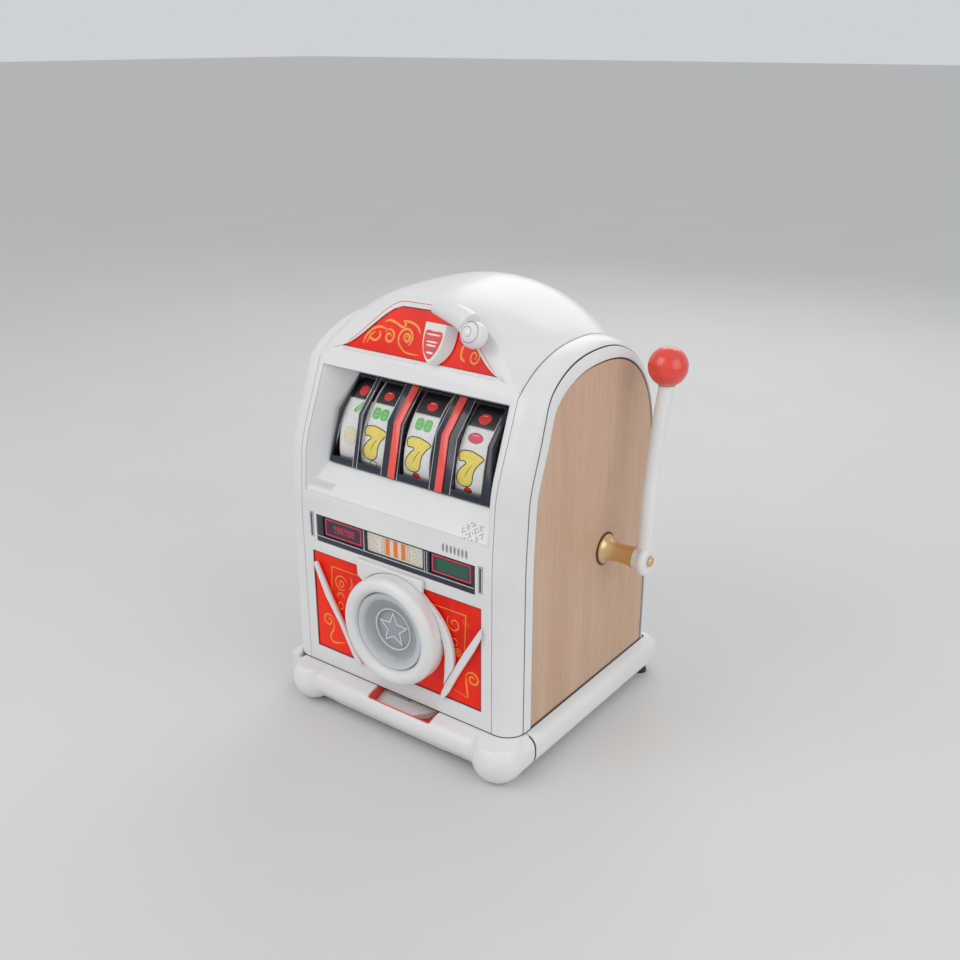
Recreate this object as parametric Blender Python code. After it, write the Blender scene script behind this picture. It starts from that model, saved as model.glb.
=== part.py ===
"""Countertop one-armed slot machine with four reels, built as separate named pieces.

Units are metres, +Z is up, and the front faces -Y. The origin is the middle of the base
board's underside, on the plane of symmetry of the cabinet. The handle is on the +X side.
"""
import math

import bmesh
import bpy
from mathutils import Matrix, Vector

GAP = 0.0004  # clearance left between pieces that rest on or sit inside each other

# ---- Cabinet envelope ----
HALF_WIDTH = 0.200
Y_FRONT = -0.175
Y_REAR = 0.175
BASE_TOP = 0.0570
BODY_BOTTOM = BASE_TOP + GAP
ROOF_TOP = 0.611
ROOF_RADIUS = 0.270  # radius of the barrel vault, across the cabinet
SEAM_X = 0.165  # seam between the front casting or roof and the rounded side fenders
SHELL = 0.004  # wall of the roof, fenders and trims
FRONT_WALL = 0.006

# Front face, seen from the side: upright, then a slight slope, then the leaning top.
SLOPE_START_Z = 0.300
SLOPE_RATE = 0.0755
LEAN_START_Z = 0.395
LEAN_RATE = 0.400
LEAN_BLEND = 0.020  # half-height over which each change of slope is rounded

# Side arch: a superellipse above the springing line.
ARCH_Y = 0.015
ARCH_Z = 0.360
ARCH_FRONT = ARCH_Y - Y_FRONT
ARCH_REAR = Y_REAR - ARCH_Y
ARCH_POWER_SIDE = 2.3
ARCH_POWER_MIDDLE = 3.3
ROOF_REAR_Z = 0.400  # the roof shell comes down the back to here

# Rounded side bands, each as (front, top, rear) of the arch.
EDGE_RADIUS = (0.030, 0.030, 0.010)
FENDER_DEPTH = (0.024, 0.010, 0.0045)
PANEL_INSET = (0.041, 0.0265, 0.0100)
PANEL_FACE_X = 0.1985
PANEL_THICK = 0.0095

# ---- Base ----
ROLL_FRONT_Y = -0.2045
ROLL_BOTTOM = 0.0125
RAIL_X = 0.2165
RAIL_BOTTOM = 0.0100
RAIL_INNER_X = 0.1855
RAIL_FRONT_Y = -0.143
RAIL_REAR_Y = 0.186
FOOT_X = (-0.152, 0.181)  # the left foot sits further in than the right one
FOOT_Y = -0.180
FOOT_Z = 0.034
FOOT_RADIUS = (0.034, 0.037)
BASE_FRONT_Y = -0.2175
BASE_CORNERS = (0.085, 0.034)  # plan radii of the front corners, left and right
BOARD_HALF_X = 0.1795
BOARD_THICK = RAIL_BOTTOM - GAP
PAD_CENTRE = (0.199, 0.168)
PAD_RADIUS = 0.011
FLOOR_THICK = 0.003
FLOOR_TOP = BODY_BOTTOM + FLOOR_THICK

# Coin tray let into the front roll, a little to the handle's side.
TRAY_X = (-0.034, 0.077)
TRAY_Y = (-0.1975, -0.160)
TRAY_FLOOR = 0.030
TRAY_WALL = 0.0015
MOUTH_X = (-0.017, 0.015)
MOUTH_SILL = 0.037
FLAP_Y = -0.1655
FLAP_TOP = 0.0535
FLAP_THICK = 0.0010

# ---- Front openings ----
WINDOW_TOP = (0.156, 0.498)  # half-width and height of the outer window
WINDOW_BOTTOM = (0.158, 0.327)
REEL_OPENING_TOP = (0.1275, -0.0855, 0.4800)  # half-width, y, z of the inner window
REEL_OPENING_BOTTOM = (0.1385, -0.1405, 0.3630)
SURROUND_WALL = 0.003
WINDOW_MIDDLE_Z = 0.420
LOWER_GLASS = (0.1485, 0.0840, 0.2380)  # half-width, bottom, top
DISPLAY = (0.1385, 0.2545, 0.2955)
SLOT_X = (0.1435, 0.1505)
SLOT_Z = (0.2590, 0.2970)
TOP_GLASS_HALF = 0.1365
TOP_GLASS_Z = (0.5255, 0.5865)
TOP_GLASS_SHOULDER = 0.040  # half-width of the bell's flat crown

# ---- Medallion ----
RING_CENTRE = (0.010, 0.168)
RING_RADIUS = 0.078
RING_INNER = 0.056
RING_FRONT_Y = -0.205
DISH_RADIUS = RING_INNER - 0.0006
CRESCENT_CENTRE = (0.022, 0.150)
CRESCENT_RADIUS = 0.0855
CRESCENT_INNER = (0.012, 0.150)
CRESCENT_INNER_RADIUS = 0.0815
MOULDING_DEPTH = 0.0055
CURL = ((0.0170, 0.5890, 0.0065), (0.0300, 0.5895, 0.0100), (0.0443, 0.5880, 0.0123),
        (0.0580, 0.5860, 0.0138), (0.0720, 0.5825, 0.0150), (0.0840, 0.5770, 0.0160))  # x, z, radius
CURL_END = (0.0940, 0.5665, 0.0172)
STRAP_LEFT = ((-0.1430, 0.2220), (-0.1420, 0.2154), (-0.1232, 0.1740), (-0.0994, 0.1387), (-0.0711, 0.0862),
              (-0.0603, 0.0826), (-0.0576, 0.0854), (-0.0754, 0.1081), (-0.0919, 0.1412), (-0.1146, 0.1798),
              (-0.1376, 0.2235))
STRAP_RIGHT_INNER = ((0.1505, 0.2115), (0.1236, 0.1676), (0.0936, 0.1130), (0.0850, 0.0930), (0.0827, 0.0834))
STRAP_RIGHT_OUTER = ((0.0880, 0.0840), (0.0973, 0.0966), (0.1122, 0.1258), (0.1392, 0.1731), (0.1521, 0.2001))

# ---- Reels ----
REEL_RADIUS = 0.110
REEL_WIDTH = 0.044
REEL_X = (-0.1060, -0.0610, 0.0095, 0.0965)
REEL_WINDOWS = ((-0.1345, -0.0937), (-0.0867, -0.0424), (-0.0153, 0.0407), (0.0745, 0.1224))
REEL_PROUD = 0.0095  # how far the drums stand past the inner window's plane
REEL_RIM = 0.0022
REEL_HUB = 0.014
SHAFT_RADIUS = 0.006
RUNNING = 0.0004
MASK_KNEE = 0.019  # how far the bars between the reels stand past that plane
MASK_CLEAR = 0.0015
BAR_WIDTH = 0.0120
BAR_THICK = 0.0018
BAR_X = (-0.0243, 0.0562)

# ---- Handle and its gearing ----
HANDLE_Y = 0.045
HANDLE_Z = 0.254
HANDLE_SHAFT_RADIUS = 0.0070
ARM_X = 0.2570
ARM_RADIUS = 0.0105
KNOB_RADIUS = 0.0265
KNOB_DROP = 0.024  # flat underside, below the ball's centre
KNOB_Y = 0.0850
KNOB_Z = 0.5155
NECK_X = 0.2470  # inboard end of the arm's hub
FLANGE_X = (0.2560, 0.2690)
FLANGE_RADIUS = 0.0200
NECK_RADIUS = 0.0155
GEAR_MODULE = 0.003
SECTOR_TEETH = 32
PINION_TEETH = 16
SECTOR_HUB = 0.019
GEAR_X = (0.1390, 0.1460)
KICKER_ANGLE = math.radians(34.0)  # direction from the handle shaft to the kicker shaft
KICKER_RADIUS = 0.005
SPRING_X = (0.150, 0.170)
SPRING_RADIUS = 0.0125
SPRING_WIRE = 0.0011
SPRING_TURNS = 5
SPRING_POINTS = 10  # points in each turn
RIGHT_FRAME_X = (0.1245, 0.1270)
LEFT_FRAME_X = (-0.1430, -0.1405)
SHELF_TOP = 0.179
SHELF_THICK = 0.003

# ---- Back ----
PANEL_Y = (0.1708, 0.1748)
DOOR_HALF = 0.125
DOOR_Z = (0.125, 0.375)
DRAWER_HALF = 0.112
DRAWER_Z = (0.0611, 0.1080)
DRAWER_FRONT_Y = -0.060
HINGE_Y = 0.1799
HINGE_RADIUS = 0.0046
HINGE_PIN = 0.0018
LOCK_POS = (0.108, 0.250)
LOCK_RADIUS = 0.0080
HINGE_HALF = 0.0800  # half-length of the door hinge
KNUCKLE_HALF = 0.0400  # half-length of the knuckle on the door

COLOURS = {
    "enamel": ((0.90, 0.90, 0.90), 0.22, 0.0),
    "wood": ((0.62, 0.42, 0.27), 0.55, 0.0),
    "red_glass": ((0.85, 0.05, 0.02), 0.15, 0.0),
    "red_plastic": ((0.85, 0.08, 0.05), 0.30, 0.0),
    "black": ((0.015, 0.02, 0.05), 0.35, 0.0),
    "reel_paper": ((0.88, 0.88, 0.85), 0.50, 0.0),
    "card": ((0.90, 0.84, 0.70), 0.50, 0.0),
    "dish_grey": ((0.50, 0.50, 0.52), 0.35, 0.0),
    "brass": ((0.70, 0.45, 0.15), 0.30, 1.0),
    "steel": ((0.55, 0.56, 0.58), 0.35, 1.0),
    "rubber": ((0.03, 0.03, 0.03), 0.80, 0.0),
    "plywood": ((0.45, 0.32, 0.20), 0.70, 0.0),
}


# ---- Scene helpers ----
def clear_scene():
    for old in list(bpy.data.objects):
        bpy.data.objects.remove(old, do_unlink=True)


def material(name):
    """The Principled material of one finish, made once."""
    found = bpy.data.materials.get(name)
    if found:
        return found
    colour, roughness, metallic = COLOURS[name]
    made = bpy.data.materials.new(name)
    made.use_nodes = True
    shader = made.node_tree.nodes["Principled BSDF"]
    shader.inputs["Base Color"].default_value = (*colour, 1.0)
    shader.inputs["Roughness"].default_value = roughness
    shader.inputs["Metallic"].default_value = metallic
    return made


def place(name, bm, finish, pivot=(0.0, 0.0, 0.0)):
    """Make a named object from a bmesh in world coordinates, with its origin at pivot."""
    bmesh.ops.remove_doubles(bm, verts=bm.verts, dist=1e-6)
    bmesh.ops.recalc_face_normals(bm, faces=bm.faces)
    mesh = bpy.data.meshes.new(name)
    bm.to_mesh(mesh)
    bm.free()
    mesh.transform(Matrix.Translation(-Vector(pivot)))
    mesh.shade_smooth()
    mesh.set_sharp_from_angle(angle=math.radians(35.0))
    obj = bpy.data.objects.new(name, mesh)
    obj.location = pivot
    obj.data.materials.append(material(finish))
    bpy.context.scene.collection.objects.link(obj)
    return obj


def combine(first, operation, second):
    """Boolean two closed bmeshes, and return the result as a new bmesh."""
    objects = []
    for bm in (first, second):
        bmesh.ops.recalc_face_normals(bm, faces=bm.faces)
        mesh = bpy.data.meshes.new("working")
        bm.to_mesh(mesh)
        bm.free()
        obj = bpy.data.objects.new("working", mesh)
        bpy.context.scene.collection.objects.link(obj)
        objects.append(obj)
    base, tool = objects
    modifier = base.modifiers.new("combine", "BOOLEAN")
    modifier.operation = operation
    modifier.object = tool
    graph = bpy.context.evaluated_depsgraph_get()
    result = bmesh.new()
    result.from_mesh(base.evaluated_get(graph).to_mesh())
    for obj in objects:
        bpy.data.objects.remove(obj, do_unlink=True)
    return result


def cut(bm, *tools):
    for tool in tools:
        bm = combine(bm, "DIFFERENCE", tool)
    return bm


def join(bm, *others):
    for other in others:
        bm = combine(bm, "UNION", other)
    return bm


def mirrored(bm):
    """The same body on the other side of the plane of symmetry."""
    bmesh.ops.scale(bm, vec=(-1.0, 1.0, 1.0), verts=bm.verts)
    bmesh.ops.reverse_faces(bm, faces=bm.faces)
    return bm


# ---- Solid helpers ----
def loft(rings, closed=False):
    """A body through rings of equal point count, capped unless the last ring meets the first."""
    bm = bmesh.new()
    loops = [[bm.verts.new(point) for point in ring] for ring in rings]
    pairs = list(zip(loops, loops[1:]))
    if closed:
        pairs.append((loops[-1], loops[0]))
    for low, high in pairs:
        for i in range(len(low)):
            j = (i + 1) % len(low)
            bm.faces.new((low[i], low[j], high[j], high[i]))
    if not closed:
        bm.faces.new(loops[0][::-1])
        bm.faces.new(loops[-1])
    bmesh.ops.recalc_face_normals(bm, faces=bm.faces)
    return bm


def prism(outline, axis, low, high):
    """Extrude a 2D outline along an axis; the outline holds the other two coordinates in order."""
    def point(pair, along):
        values = list(pair)
        values.insert("XYZ".index(axis), along)
        return values
    return loft([[point(pair, along) for pair in outline] for along in (low, high)])


def box(x, y, z):
    return prism([(x[0], y[0]), (x[1], y[0]), (x[1], y[1]), (x[0], y[1])], "Z", *z)


def turned(profile, axis, centre, segments):
    """Spin a closed (radius, along) profile round an axis; centre holds the other two coordinates."""
    rings = []
    for i in range(segments):
        angle = math.tau * i / segments
        ring = []
        for radius, along in profile:
            values = [centre[0] + radius * math.cos(angle), centre[1] + radius * math.sin(angle)]
            values.insert("XYZ".index(axis), along)
            ring.append(values)
        rings.append(ring)
    return loft(rings, closed=True)


def solid_turned(profile, axis, centre, segments):
    """A turned solid without a bore, from its (radius, along) steps; both ends are flat."""
    rings = []
    for radius, along in profile:
        ring = []
        for pair in circle(centre, radius, segments):
            values = list(pair)
            values.insert("XYZ".index(axis), along)
            ring.append(values)
        rings.append(ring)
    return loft(rings)


def cylinder(radius, axis, centre, low, high, segments=20):
    return prism(circle(centre, radius, segments), axis, low, high)


def circle(centre, radius, segments):
    return [(centre[0] + radius * math.cos(math.tau * i / segments),
             centre[1] + radius * math.sin(math.tau * i / segments)) for i in range(segments)]


def arc(centre, radius, start, end, steps):
    """Points of an arc in degrees, ends included."""
    points = []
    for i in range(steps + 1):
        angle = math.radians(start + (end - start) * i / steps)
        points.append((centre[0] + radius * math.cos(angle), centre[1] + radius * math.sin(angle)))
    return points


def ball(centre, radius, rings, segments, flat_below=None):
    """A ball, with an optional flat underside at the given height."""
    bm = bmesh.new()
    bmesh.ops.create_uvsphere(bm, u_segments=segments, v_segments=rings, radius=radius)
    bmesh.ops.translate(bm, vec=centre, verts=bm.verts)
    if flat_below is not None:
        low = flat_below - radius
        bm = cut(bm, box((centre[0] - radius * 2, centre[0] + radius * 2),
                         (centre[1] - radius * 2, centre[1] + radius * 2), (low, flat_below)))
    return bm


def moved_in(grid, distance):
    """The grid's points moved towards its columns crossed with its rows."""
    rows, columns = len(grid), len(grid[0])
    points = [[Vector(point) for point in row] for row in grid]

    def inward(i, j):
        along = points[min(i + 1, rows - 1)][j] - points[max(i - 1, 0)][j]
        across = points[i][min(j + 1, columns - 1)] - points[i][max(j - 1, 0)]
        return across.cross(along).normalized()
    return [[points[i][j] + inward(i, j) * distance for j in range(columns)] for i in range(rows)]


def sheet(outer, inner):
    """A closed wall between two grids of points."""
    rows, columns = len(outer), len(outer[0])
    bm = bmesh.new()
    tops = [[bm.verts.new(p) for p in row] for row in outer]
    unders = [[bm.verts.new(p) for p in row] for row in inner]
    for i in range(rows - 1):
        for j in range(columns - 1):
            bm.faces.new((tops[i][j], tops[i][j + 1], tops[i + 1][j + 1], tops[i + 1][j]))
            bm.faces.new((unders[i][j], unders[i + 1][j], unders[i + 1][j + 1], unders[i][j + 1]))
    for i in range(rows - 1):
        for j in (0, columns - 1):
            bm.faces.new((tops[i][j], tops[i + 1][j], unders[i + 1][j], unders[i][j]))
    for j in range(columns - 1):
        for i in (0, rows - 1):
            bm.faces.new((tops[i][j], tops[i][j + 1], unders[i][j + 1], unders[i][j]))
    bmesh.ops.recalc_face_normals(bm, faces=bm.faces)
    return bm


def duct(sections, wall):
    """A tube of rectangular or round section through rings of points, open at both ends."""
    inner = []
    for ring in sections:
        centre = sum((Vector(p) for p in ring), Vector()) / len(ring)
        inner.append([centre + (Vector(p) - centre) * (1.0 - wall / (Vector(p) - centre).length)
                      for p in ring])
    count = len(sections[0])
    bm = bmesh.new()
    outside = [[bm.verts.new(p) for p in ring] for ring in sections]
    inside = [[bm.verts.new(p) for p in ring] for ring in inner]
    for k in range(len(sections) - 1):
        for i in range(count):
            j = (i + 1) % count
            bm.faces.new((outside[k][i], outside[k][j], outside[k + 1][j], outside[k + 1][i]))
            bm.faces.new((inside[k][i], inside[k + 1][i], inside[k + 1][j], inside[k][j]))
    for k in (0, len(sections) - 1):
        for i in range(count):
            j = (i + 1) % count
            bm.faces.new((outside[k][i], outside[k][j], inside[k][j], inside[k][i]))
    bmesh.ops.recalc_face_normals(bm, faces=bm.faces)
    return bm


def rod(path, radii, segments):
    """A round bar through a path, with one radius for each point and flat ends."""
    points = [Vector(p) for p in path]
    rings = []
    side = Vector((1.0, 0.0, 0.0))
    for i, point in enumerate(points):
        along = (points[min(i + 1, len(points) - 1)] - points[max(i - 1, 0)]).normalized()
        first = (side - along * side.dot(along)).normalized()
        if first.length < 0.5:
            first = Vector((0.0, 1.0, 0.0))
        second = along.cross(first)
        rings.append([point + (first * math.cos(math.tau * k / segments)
                               + second * math.sin(math.tau * k / segments)) * radii[i]
                      for k in range(segments)])
    return loft(rings)


# ---- Shape of the cabinet ----
def leaning(z, start, rate):
    """Setback that grows at rate above start, with the change of slope rounded."""
    rise = z - start
    if rise <= -LEAN_BLEND:
        return 0.0
    if rise >= LEAN_BLEND:
        return rate * rise
    return rate * (rise + LEAN_BLEND) ** 2 / (4.0 * LEAN_BLEND)


def front_y(z):
    lower = leaning(z, SLOPE_START_Z, SLOPE_RATE)
    return Y_FRONT + lower + leaning(z, LEAN_START_Z, LEAN_RATE - SLOPE_RATE)


def roof_z(x):
    return ROOF_TOP - ROOF_RADIUS + math.sqrt(ROOF_RADIUS ** 2 - x ** 2)


def arch_point(x, angle):
    """Point (y, z) of the body's section at x; angle runs from 0 at the front to pi at the rear."""
    share = min(abs(x) / SEAM_X, 1.0) ** 2
    power = ARCH_POWER_MIDDLE + (ARCH_POWER_SIDE - ARCH_POWER_MIDDLE) * share
    rise = roof_z(min(abs(x), SEAM_X)) - ARCH_Z
    cosine = math.cos(angle)
    reach = ARCH_FRONT if cosine > 0 else ARCH_REAR
    y = ARCH_Y - math.copysign(reach * abs(cosine) ** (2.0 / power), cosine)
    return y, ARCH_Z + rise * max(math.sin(angle), 0.0) ** (2.0 / power)


def front_angle(x, setback=0.0):
    """Arch angle where the section at x leaves the front face, set back by a wall."""
    low, high = math.radians(20.0), math.radians(90.0)
    for _ in range(40):
        middle = (low + high) / 2.0
        y, z = arch_point(x, middle)
        if y > front_y(z) + setback:
            high = middle
        else:
            low = middle
    return high


def rear_angle(x, height):
    """Arch angle where the section at x has come down to a height at the back."""
    low, high = math.radians(100.0), math.pi
    for _ in range(40):
        middle = (low + high) / 2.0
        if arch_point(x, middle)[1] > height:
            low = middle
        else:
            high = middle
    return high


def side_path():
    """Outline (y, z) of the cabinet at the seam: up the front, over the arch, down the back."""
    levels = (BODY_BOTTOM, 0.180, 0.290, 0.340, 0.375, 0.395, 0.415, 0.450, 0.480)
    path = [(front_y(z), z) for z in levels]
    start = front_angle(SEAM_X)
    steps = 14
    path += [arch_point(SEAM_X, start + (math.pi - start) * i / steps) for i in range(steps + 1)]
    return path + [(Y_REAR, 0.200), (Y_REAR, BODY_BOTTOM)]


def path_normals(path):
    """Outward unit normals of the side outline."""
    normals = []
    for i in range(len(path)):
        before, after = path[max(i - 1, 0)], path[min(i + 1, len(path) - 1)]
        along = Vector((after[0] - before[0], after[1] - before[1])).normalized()
        normals.append(Vector((-along.y, along.x)))
    normals[0] = Vector((-1.0, 0.0))
    normals[-1] = Vector((1.0, 0.0))
    return normals


def around_arch(values, normal):
    """Blend (front, top, rear) values by the direction that the outline faces."""
    front, top, rear = max(-normal.x, 0.0) ** 2, normal.y ** 2, max(normal.x, 0.0) ** 2
    return (values[0] * front + values[1] * top + values[2] * rear) / (front + top + rear)


def side_point(depth, radius, wall):
    """Distance out from the middle, and depth, of a point under the rounded side by a wall."""
    if depth >= radius:
        return HALF_WIDTH - wall, depth
    sine = math.sqrt(radius ** 2 - (radius - depth) ** 2) / radius
    return HALF_WIDTH - radius + (radius - wall) * sine, radius - (radius - wall) * (radius - depth) / radius


def side_band(start, end, columns, wall, seam=False):
    """Grid of points over the rounded side, between two (front, top, rear) depths."""
    path = side_path()
    grid = []
    for (y, z), normal in zip(path, path_normals(path)):
        radius = around_arch(EDGE_RADIUS, normal)
        low, high = around_arch(start, normal), around_arch(end, normal)
        row = []
        if seam:
            row.append((SEAM_X + GAP, y - normal.x * wall, max(z - normal.y * wall, BODY_BOTTOM)))
        for k in range(columns + 1):
            share = k / columns
            depth = low + (high - low) * (share ** 2 if seam else share)
            x, depth = side_point(depth, radius, wall)
            row.append((x, y - normal.x * depth, max(z - normal.y * depth, BODY_BOTTOM)))
        grid.append(row)
    return grid


def side_outline(depths):
    """The cabinet's side outline, moved in by (front, top, rear) depths."""
    path = side_path()
    outline = []
    for (y, z), normal in zip(path, path_normals(path)):
        depth = around_arch(depths, normal)
        outline.append((y - normal.x * depth, max(z - normal.y * depth, BODY_BOTTOM)))
    return outline


# ---- Base ----
def roll_outline():
    """Section (y, z) of the front roll."""
    back = -0.150
    nose = arc((ROLL_FRONT_Y + 0.019, 0.036), 0.019, 100.0, 235.0, 8)
    return [(back, BASE_TOP), (-0.181, BASE_TOP), *nose, (-0.192, ROLL_BOTTOM), (back, ROLL_BOTTOM)]


def rail_outline():
    """Section (x, z) of the right-hand rail."""
    crown = arc((RAIL_X - 0.0165, 0.0385), 0.0165, 80.0, 0.0, 5)
    foot = arc((RAIL_X - 0.0165, 0.0265), 0.0165, 0.0, -80.0, 5)
    return [(RAIL_INNER_X, BASE_TOP), (0.199, BASE_TOP), *crown, *foot, (RAIL_INNER_X, RAIL_BOTTOM)]


def base_plan():
    """Plan outline (x, y) that the front of the base stays inside."""
    left, right = BASE_CORNERS
    reach = RAIL_X + 0.001
    return [(reach, -0.1), (-reach, -0.1),
            *arc((-reach + left, BASE_FRONT_Y + left), left, 180.0, 270.0, 14),
            *arc((reach - right, BASE_FRONT_Y + right), right, 270.0, 360.0, 8)]


def tray_pocket(low_z):
    return box(TRAY_X, TRAY_Y, (low_z, 0.080))


def make_base():
    board = box((-BOARD_HALF_X, BOARD_HALF_X), (-0.140, 0.165), (0.0, BOARD_THICK))
    place("bottom_board", board, "plywood")

    front = prism(roll_outline(), "X", *FOOT_X)
    for x, radius, side in zip(FOOT_X, FOOT_RADIUS, (-1, 1)):
        corner = prism(rail_outline(), "Y", FOOT_Y, RAIL_FRONT_Y - GAP)
        front = join(front, corner if side > 0 else mirrored(corner))
        front = join(front, ball((x, FOOT_Y, FOOT_Z), radius, 12, 24))
    front = combine(front, "INTERSECT", prism(base_plan(), "Z", 0.0, BASE_TOP))
    front = cut(front, tray_pocket(TRAY_FLOOR))
    mouth = box((MOUTH_X[0] - 0.002, MOUTH_X[1] + 0.002), (TRAY_Y[0], -0.140), (MOUTH_SILL, 0.080))
    place("front_base", cut(front, mouth), "enamel")

    for name, side in (("right_rail", 1), ("left_rail", -1)):
        rail = prism(rail_outline(), "Y", RAIL_FRONT_Y, RAIL_REAR_Y)
        place(name, rail if side > 0 else mirrored(rail), "enamel")
    crown = arc((RAIL_REAR_Y - 0.008, BASE_TOP - 0.008), 0.008, 90.0, 0.0, 4)
    rear = [(0.166, BASE_TOP), *crown, (RAIL_REAR_Y, RAIL_BOTTOM), (0.166, RAIL_BOTTOM)]
    inner = RAIL_INNER_X - GAP
    place("rear_rail", prism(rear, "X", -inner, inner), "enamel")
    for name, side in (("rear_foot_right", 1), ("rear_foot_left", -1)):
        pad = solid_turned([(PAD_RADIUS, 0.0), (PAD_RADIUS * 0.85, BOARD_THICK)], "Z",
                           (side * PAD_CENTRE[0], PAD_CENTRE[1]), 16)
        place(name, pad, "rubber")

    floor = box((-0.1645, 0.1645), (-0.1680, 0.1700), (BODY_BOTTOM, FLOOR_TOP))
    passage = box((-0.020, 0.018), (-0.160, -0.105), (0.050, 0.070))
    place("cabinet_floor", cut(floor, passage), "plywood")


def make_coin_tray():
    x = (TRAY_X[0] + GAP, TRAY_X[1] - GAP)
    y = (TRAY_Y[0] + GAP, TRAY_Y[1] - GAP)
    low = TRAY_FLOOR + GAP
    cup = box(x, y, (low, 0.0545))
    hollow = box((x[0] + TRAY_WALL, x[1] - TRAY_WALL), (y[0] + TRAY_WALL, y[1] - TRAY_WALL),
                 (low + TRAY_WALL, 0.080))
    roll = prism([(y - 0.0015, z) if y > -0.15 else (y + 0.0012, z - 0.0010)
                  for y, z in roll_outline()], "X", -0.2, 0.2)
    cup = combine(cut(cup, hollow), "INTERSECT", roll)
    mouth = box(MOUTH_X, (y[1] - 0.004, y[1] + 0.004), (MOUTH_SILL, 0.080))
    place("coin_tray", cut(cup, mouth), "red_plastic")

    pivot = (sum(MOUTH_X) / 2.0, FLAP_Y, FLAP_TOP)
    leaf = box((MOUTH_X[0] - 0.001, MOUTH_X[1] + 0.001),
               (FLAP_Y - FLAP_THICK / 2, FLAP_Y + FLAP_THICK / 2), (MOUTH_SILL - 0.0015, FLAP_TOP))
    bar = cylinder(0.0014, "X", (FLAP_Y, FLAP_TOP), MOUTH_X[0] - 0.004, MOUTH_X[1] + 0.004, 12)
    place("payout_flap", join(leaf, bar), "steel", pivot)


# ---- Cabinet ----
def sky_cutter():
    """Everything above the roof's surface, to trim the front casting's crown."""
    grid = []
    stations = 24
    reach = SEAM_X + 0.004
    for i in range(stations + 1):
        x = -reach + 2 * reach * i / stations
        start, end = math.radians(24.0), math.radians(110.0)
        ring = [(x, *arch_point(x, start + (end - start) * k / 10)) for k in range(11)]
        grid.append([(x, -0.250, ring[0][2])] + ring + [(x, ring[-1][1], 0.700), (x, -0.250, 0.700)])
    return loft(grid)


def inset(outline, distance):
    """The closed 2D outline moved in by a distance, square to its edges."""
    points = [Vector(p) for p in outline]
    count = len(points)
    area = sum(points[i - 1].x * points[i].y - points[i].x * points[i - 1].y for i in range(count))
    moved = []
    for i, point in enumerate(points):
        before = (point - points[i - 1]).normalized()
        after = (points[(i + 1) % count] - point).normalized()
        corner = (Vector((-before.y, before.x)) + Vector((-after.y, after.x))).normalized()
        across = max(corner.dot(Vector((-before.y, before.x))), 0.3)
        moved.append(tuple(point + corner * math.copysign(distance, area) / across))
    return moved


def bell_outline():
    """Outline (x, z) of the top glass: a flat crown, an ogee down to a point at each end."""
    low, high = TOP_GLASS_Z
    half, shoulder = TOP_GLASS_HALF, TOP_GLASS_SHOULDER
    right = []
    steps = 7
    for i in range(steps + 1):
        share = i / steps
        x = shoulder + (half - shoulder) * share
        drop = 0.5 - 0.5 * math.cos(math.pi * share ** 0.92)
        right.append((x, high + (low - high) * (0.80 * drop + 0.20 * share)))
    crown = [(shoulder * 0.5, high + 0.0006)]
    left = [(-x, z) for x, z in reversed(crown + right)]
    return left + [(0.0, high + 0.0008)] + crown + right


def front_slab(front, back):
    """The front wall's full section between two setbacks, before it is trimmed."""
    levels = [BODY_BOTTOM, 0.285, 0.300, 0.315, 0.375, 0.385, 0.395, 0.405, 0.415, 0.500, 0.620]
    face = [(front_y(z) + front, z) for z in levels]
    rear = [(front_y(z) + back, z) for z in reversed(levels)]
    return prism(face + rear, "X", -SEAM_X + GAP, SEAM_X - GAP)


def window_outline(margin=0.0):
    top, bottom = WINDOW_TOP, WINDOW_BOTTOM
    return [(-bottom[0] - margin, bottom[1] - margin), (bottom[0] + margin, bottom[1] - margin),
            (top[0] + margin, top[1] + margin), (-top[0] - margin, top[1] + margin)]


def through_front(outline):
    return prism(outline, "Y", -0.300, -0.030)


def rectangle(half, low, high):
    return [(-half, low), (half, low), (half, high), (-half, high)]


def make_front():
    casting = cut(front_slab(0.0, FRONT_WALL), sky_cutter(),
                  through_front(window_outline()),
                  through_front(rectangle(*LOWER_GLASS)),
                  through_front(rectangle(*DISPLAY)),
                  lean_prism(bell_outline(), -0.020, 0.020))
    for side in (1, -1):
        slot = box(sorted((side * SLOT_X[0], side * SLOT_X[1])), (-0.2, -0.1), SLOT_Z)
        casting = cut(casting, slot)
    place("front_casting", casting, "enamel")


def make_roof():
    grid = []
    stations, steps = 16, 14
    reach = SEAM_X - GAP
    for i in range(stations + 1):
        x = -reach + 2 * reach * i / stations
        start = front_angle(x, FRONT_WALL + 3 * GAP)
        end = rear_angle(x, ROOF_REAR_Z)
        grid.append([(x, *arch_point(x, start + (end - start) * k / steps)) for k in range(steps + 1)])
    place("roof_shell", sheet(grid, moved_in(grid, SHELL)), "enamel")


def make_sides():
    after_seam = tuple(depth + GAP for depth in FENDER_DEPTH)
    panel_edge = tuple(depth + 2 * GAP for depth in PANEL_INSET)
    for hand, side in (("right", 1), ("left", -1)):
        def turn(bm):
            return bm if side > 0 else mirrored(bm)
        fender = sheet(*(side_band((0.0,) * 3, FENDER_DEPTH, 4, wall, seam=True) for wall in (0.0, SHELL)))
        place(f"{hand}_fender", turn(fender), "enamel")
        trim = sheet(*(side_band(after_seam, PANEL_INSET, 4, wall) for wall in (0.0, SHELL)))
        place(f"{hand}_trim", turn(trim), "enamel")
        panel = prism(side_outline(panel_edge), "X", PANEL_FACE_X - PANEL_THICK, PANEL_FACE_X)
        if side > 0:
            panel = cut(panel, cylinder(0.0125, "X", (HANDLE_Y, HANDLE_Z), 0.15, 0.25, 24))
        place(f"{hand}_wood_panel", turn(panel), "wood")


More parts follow.
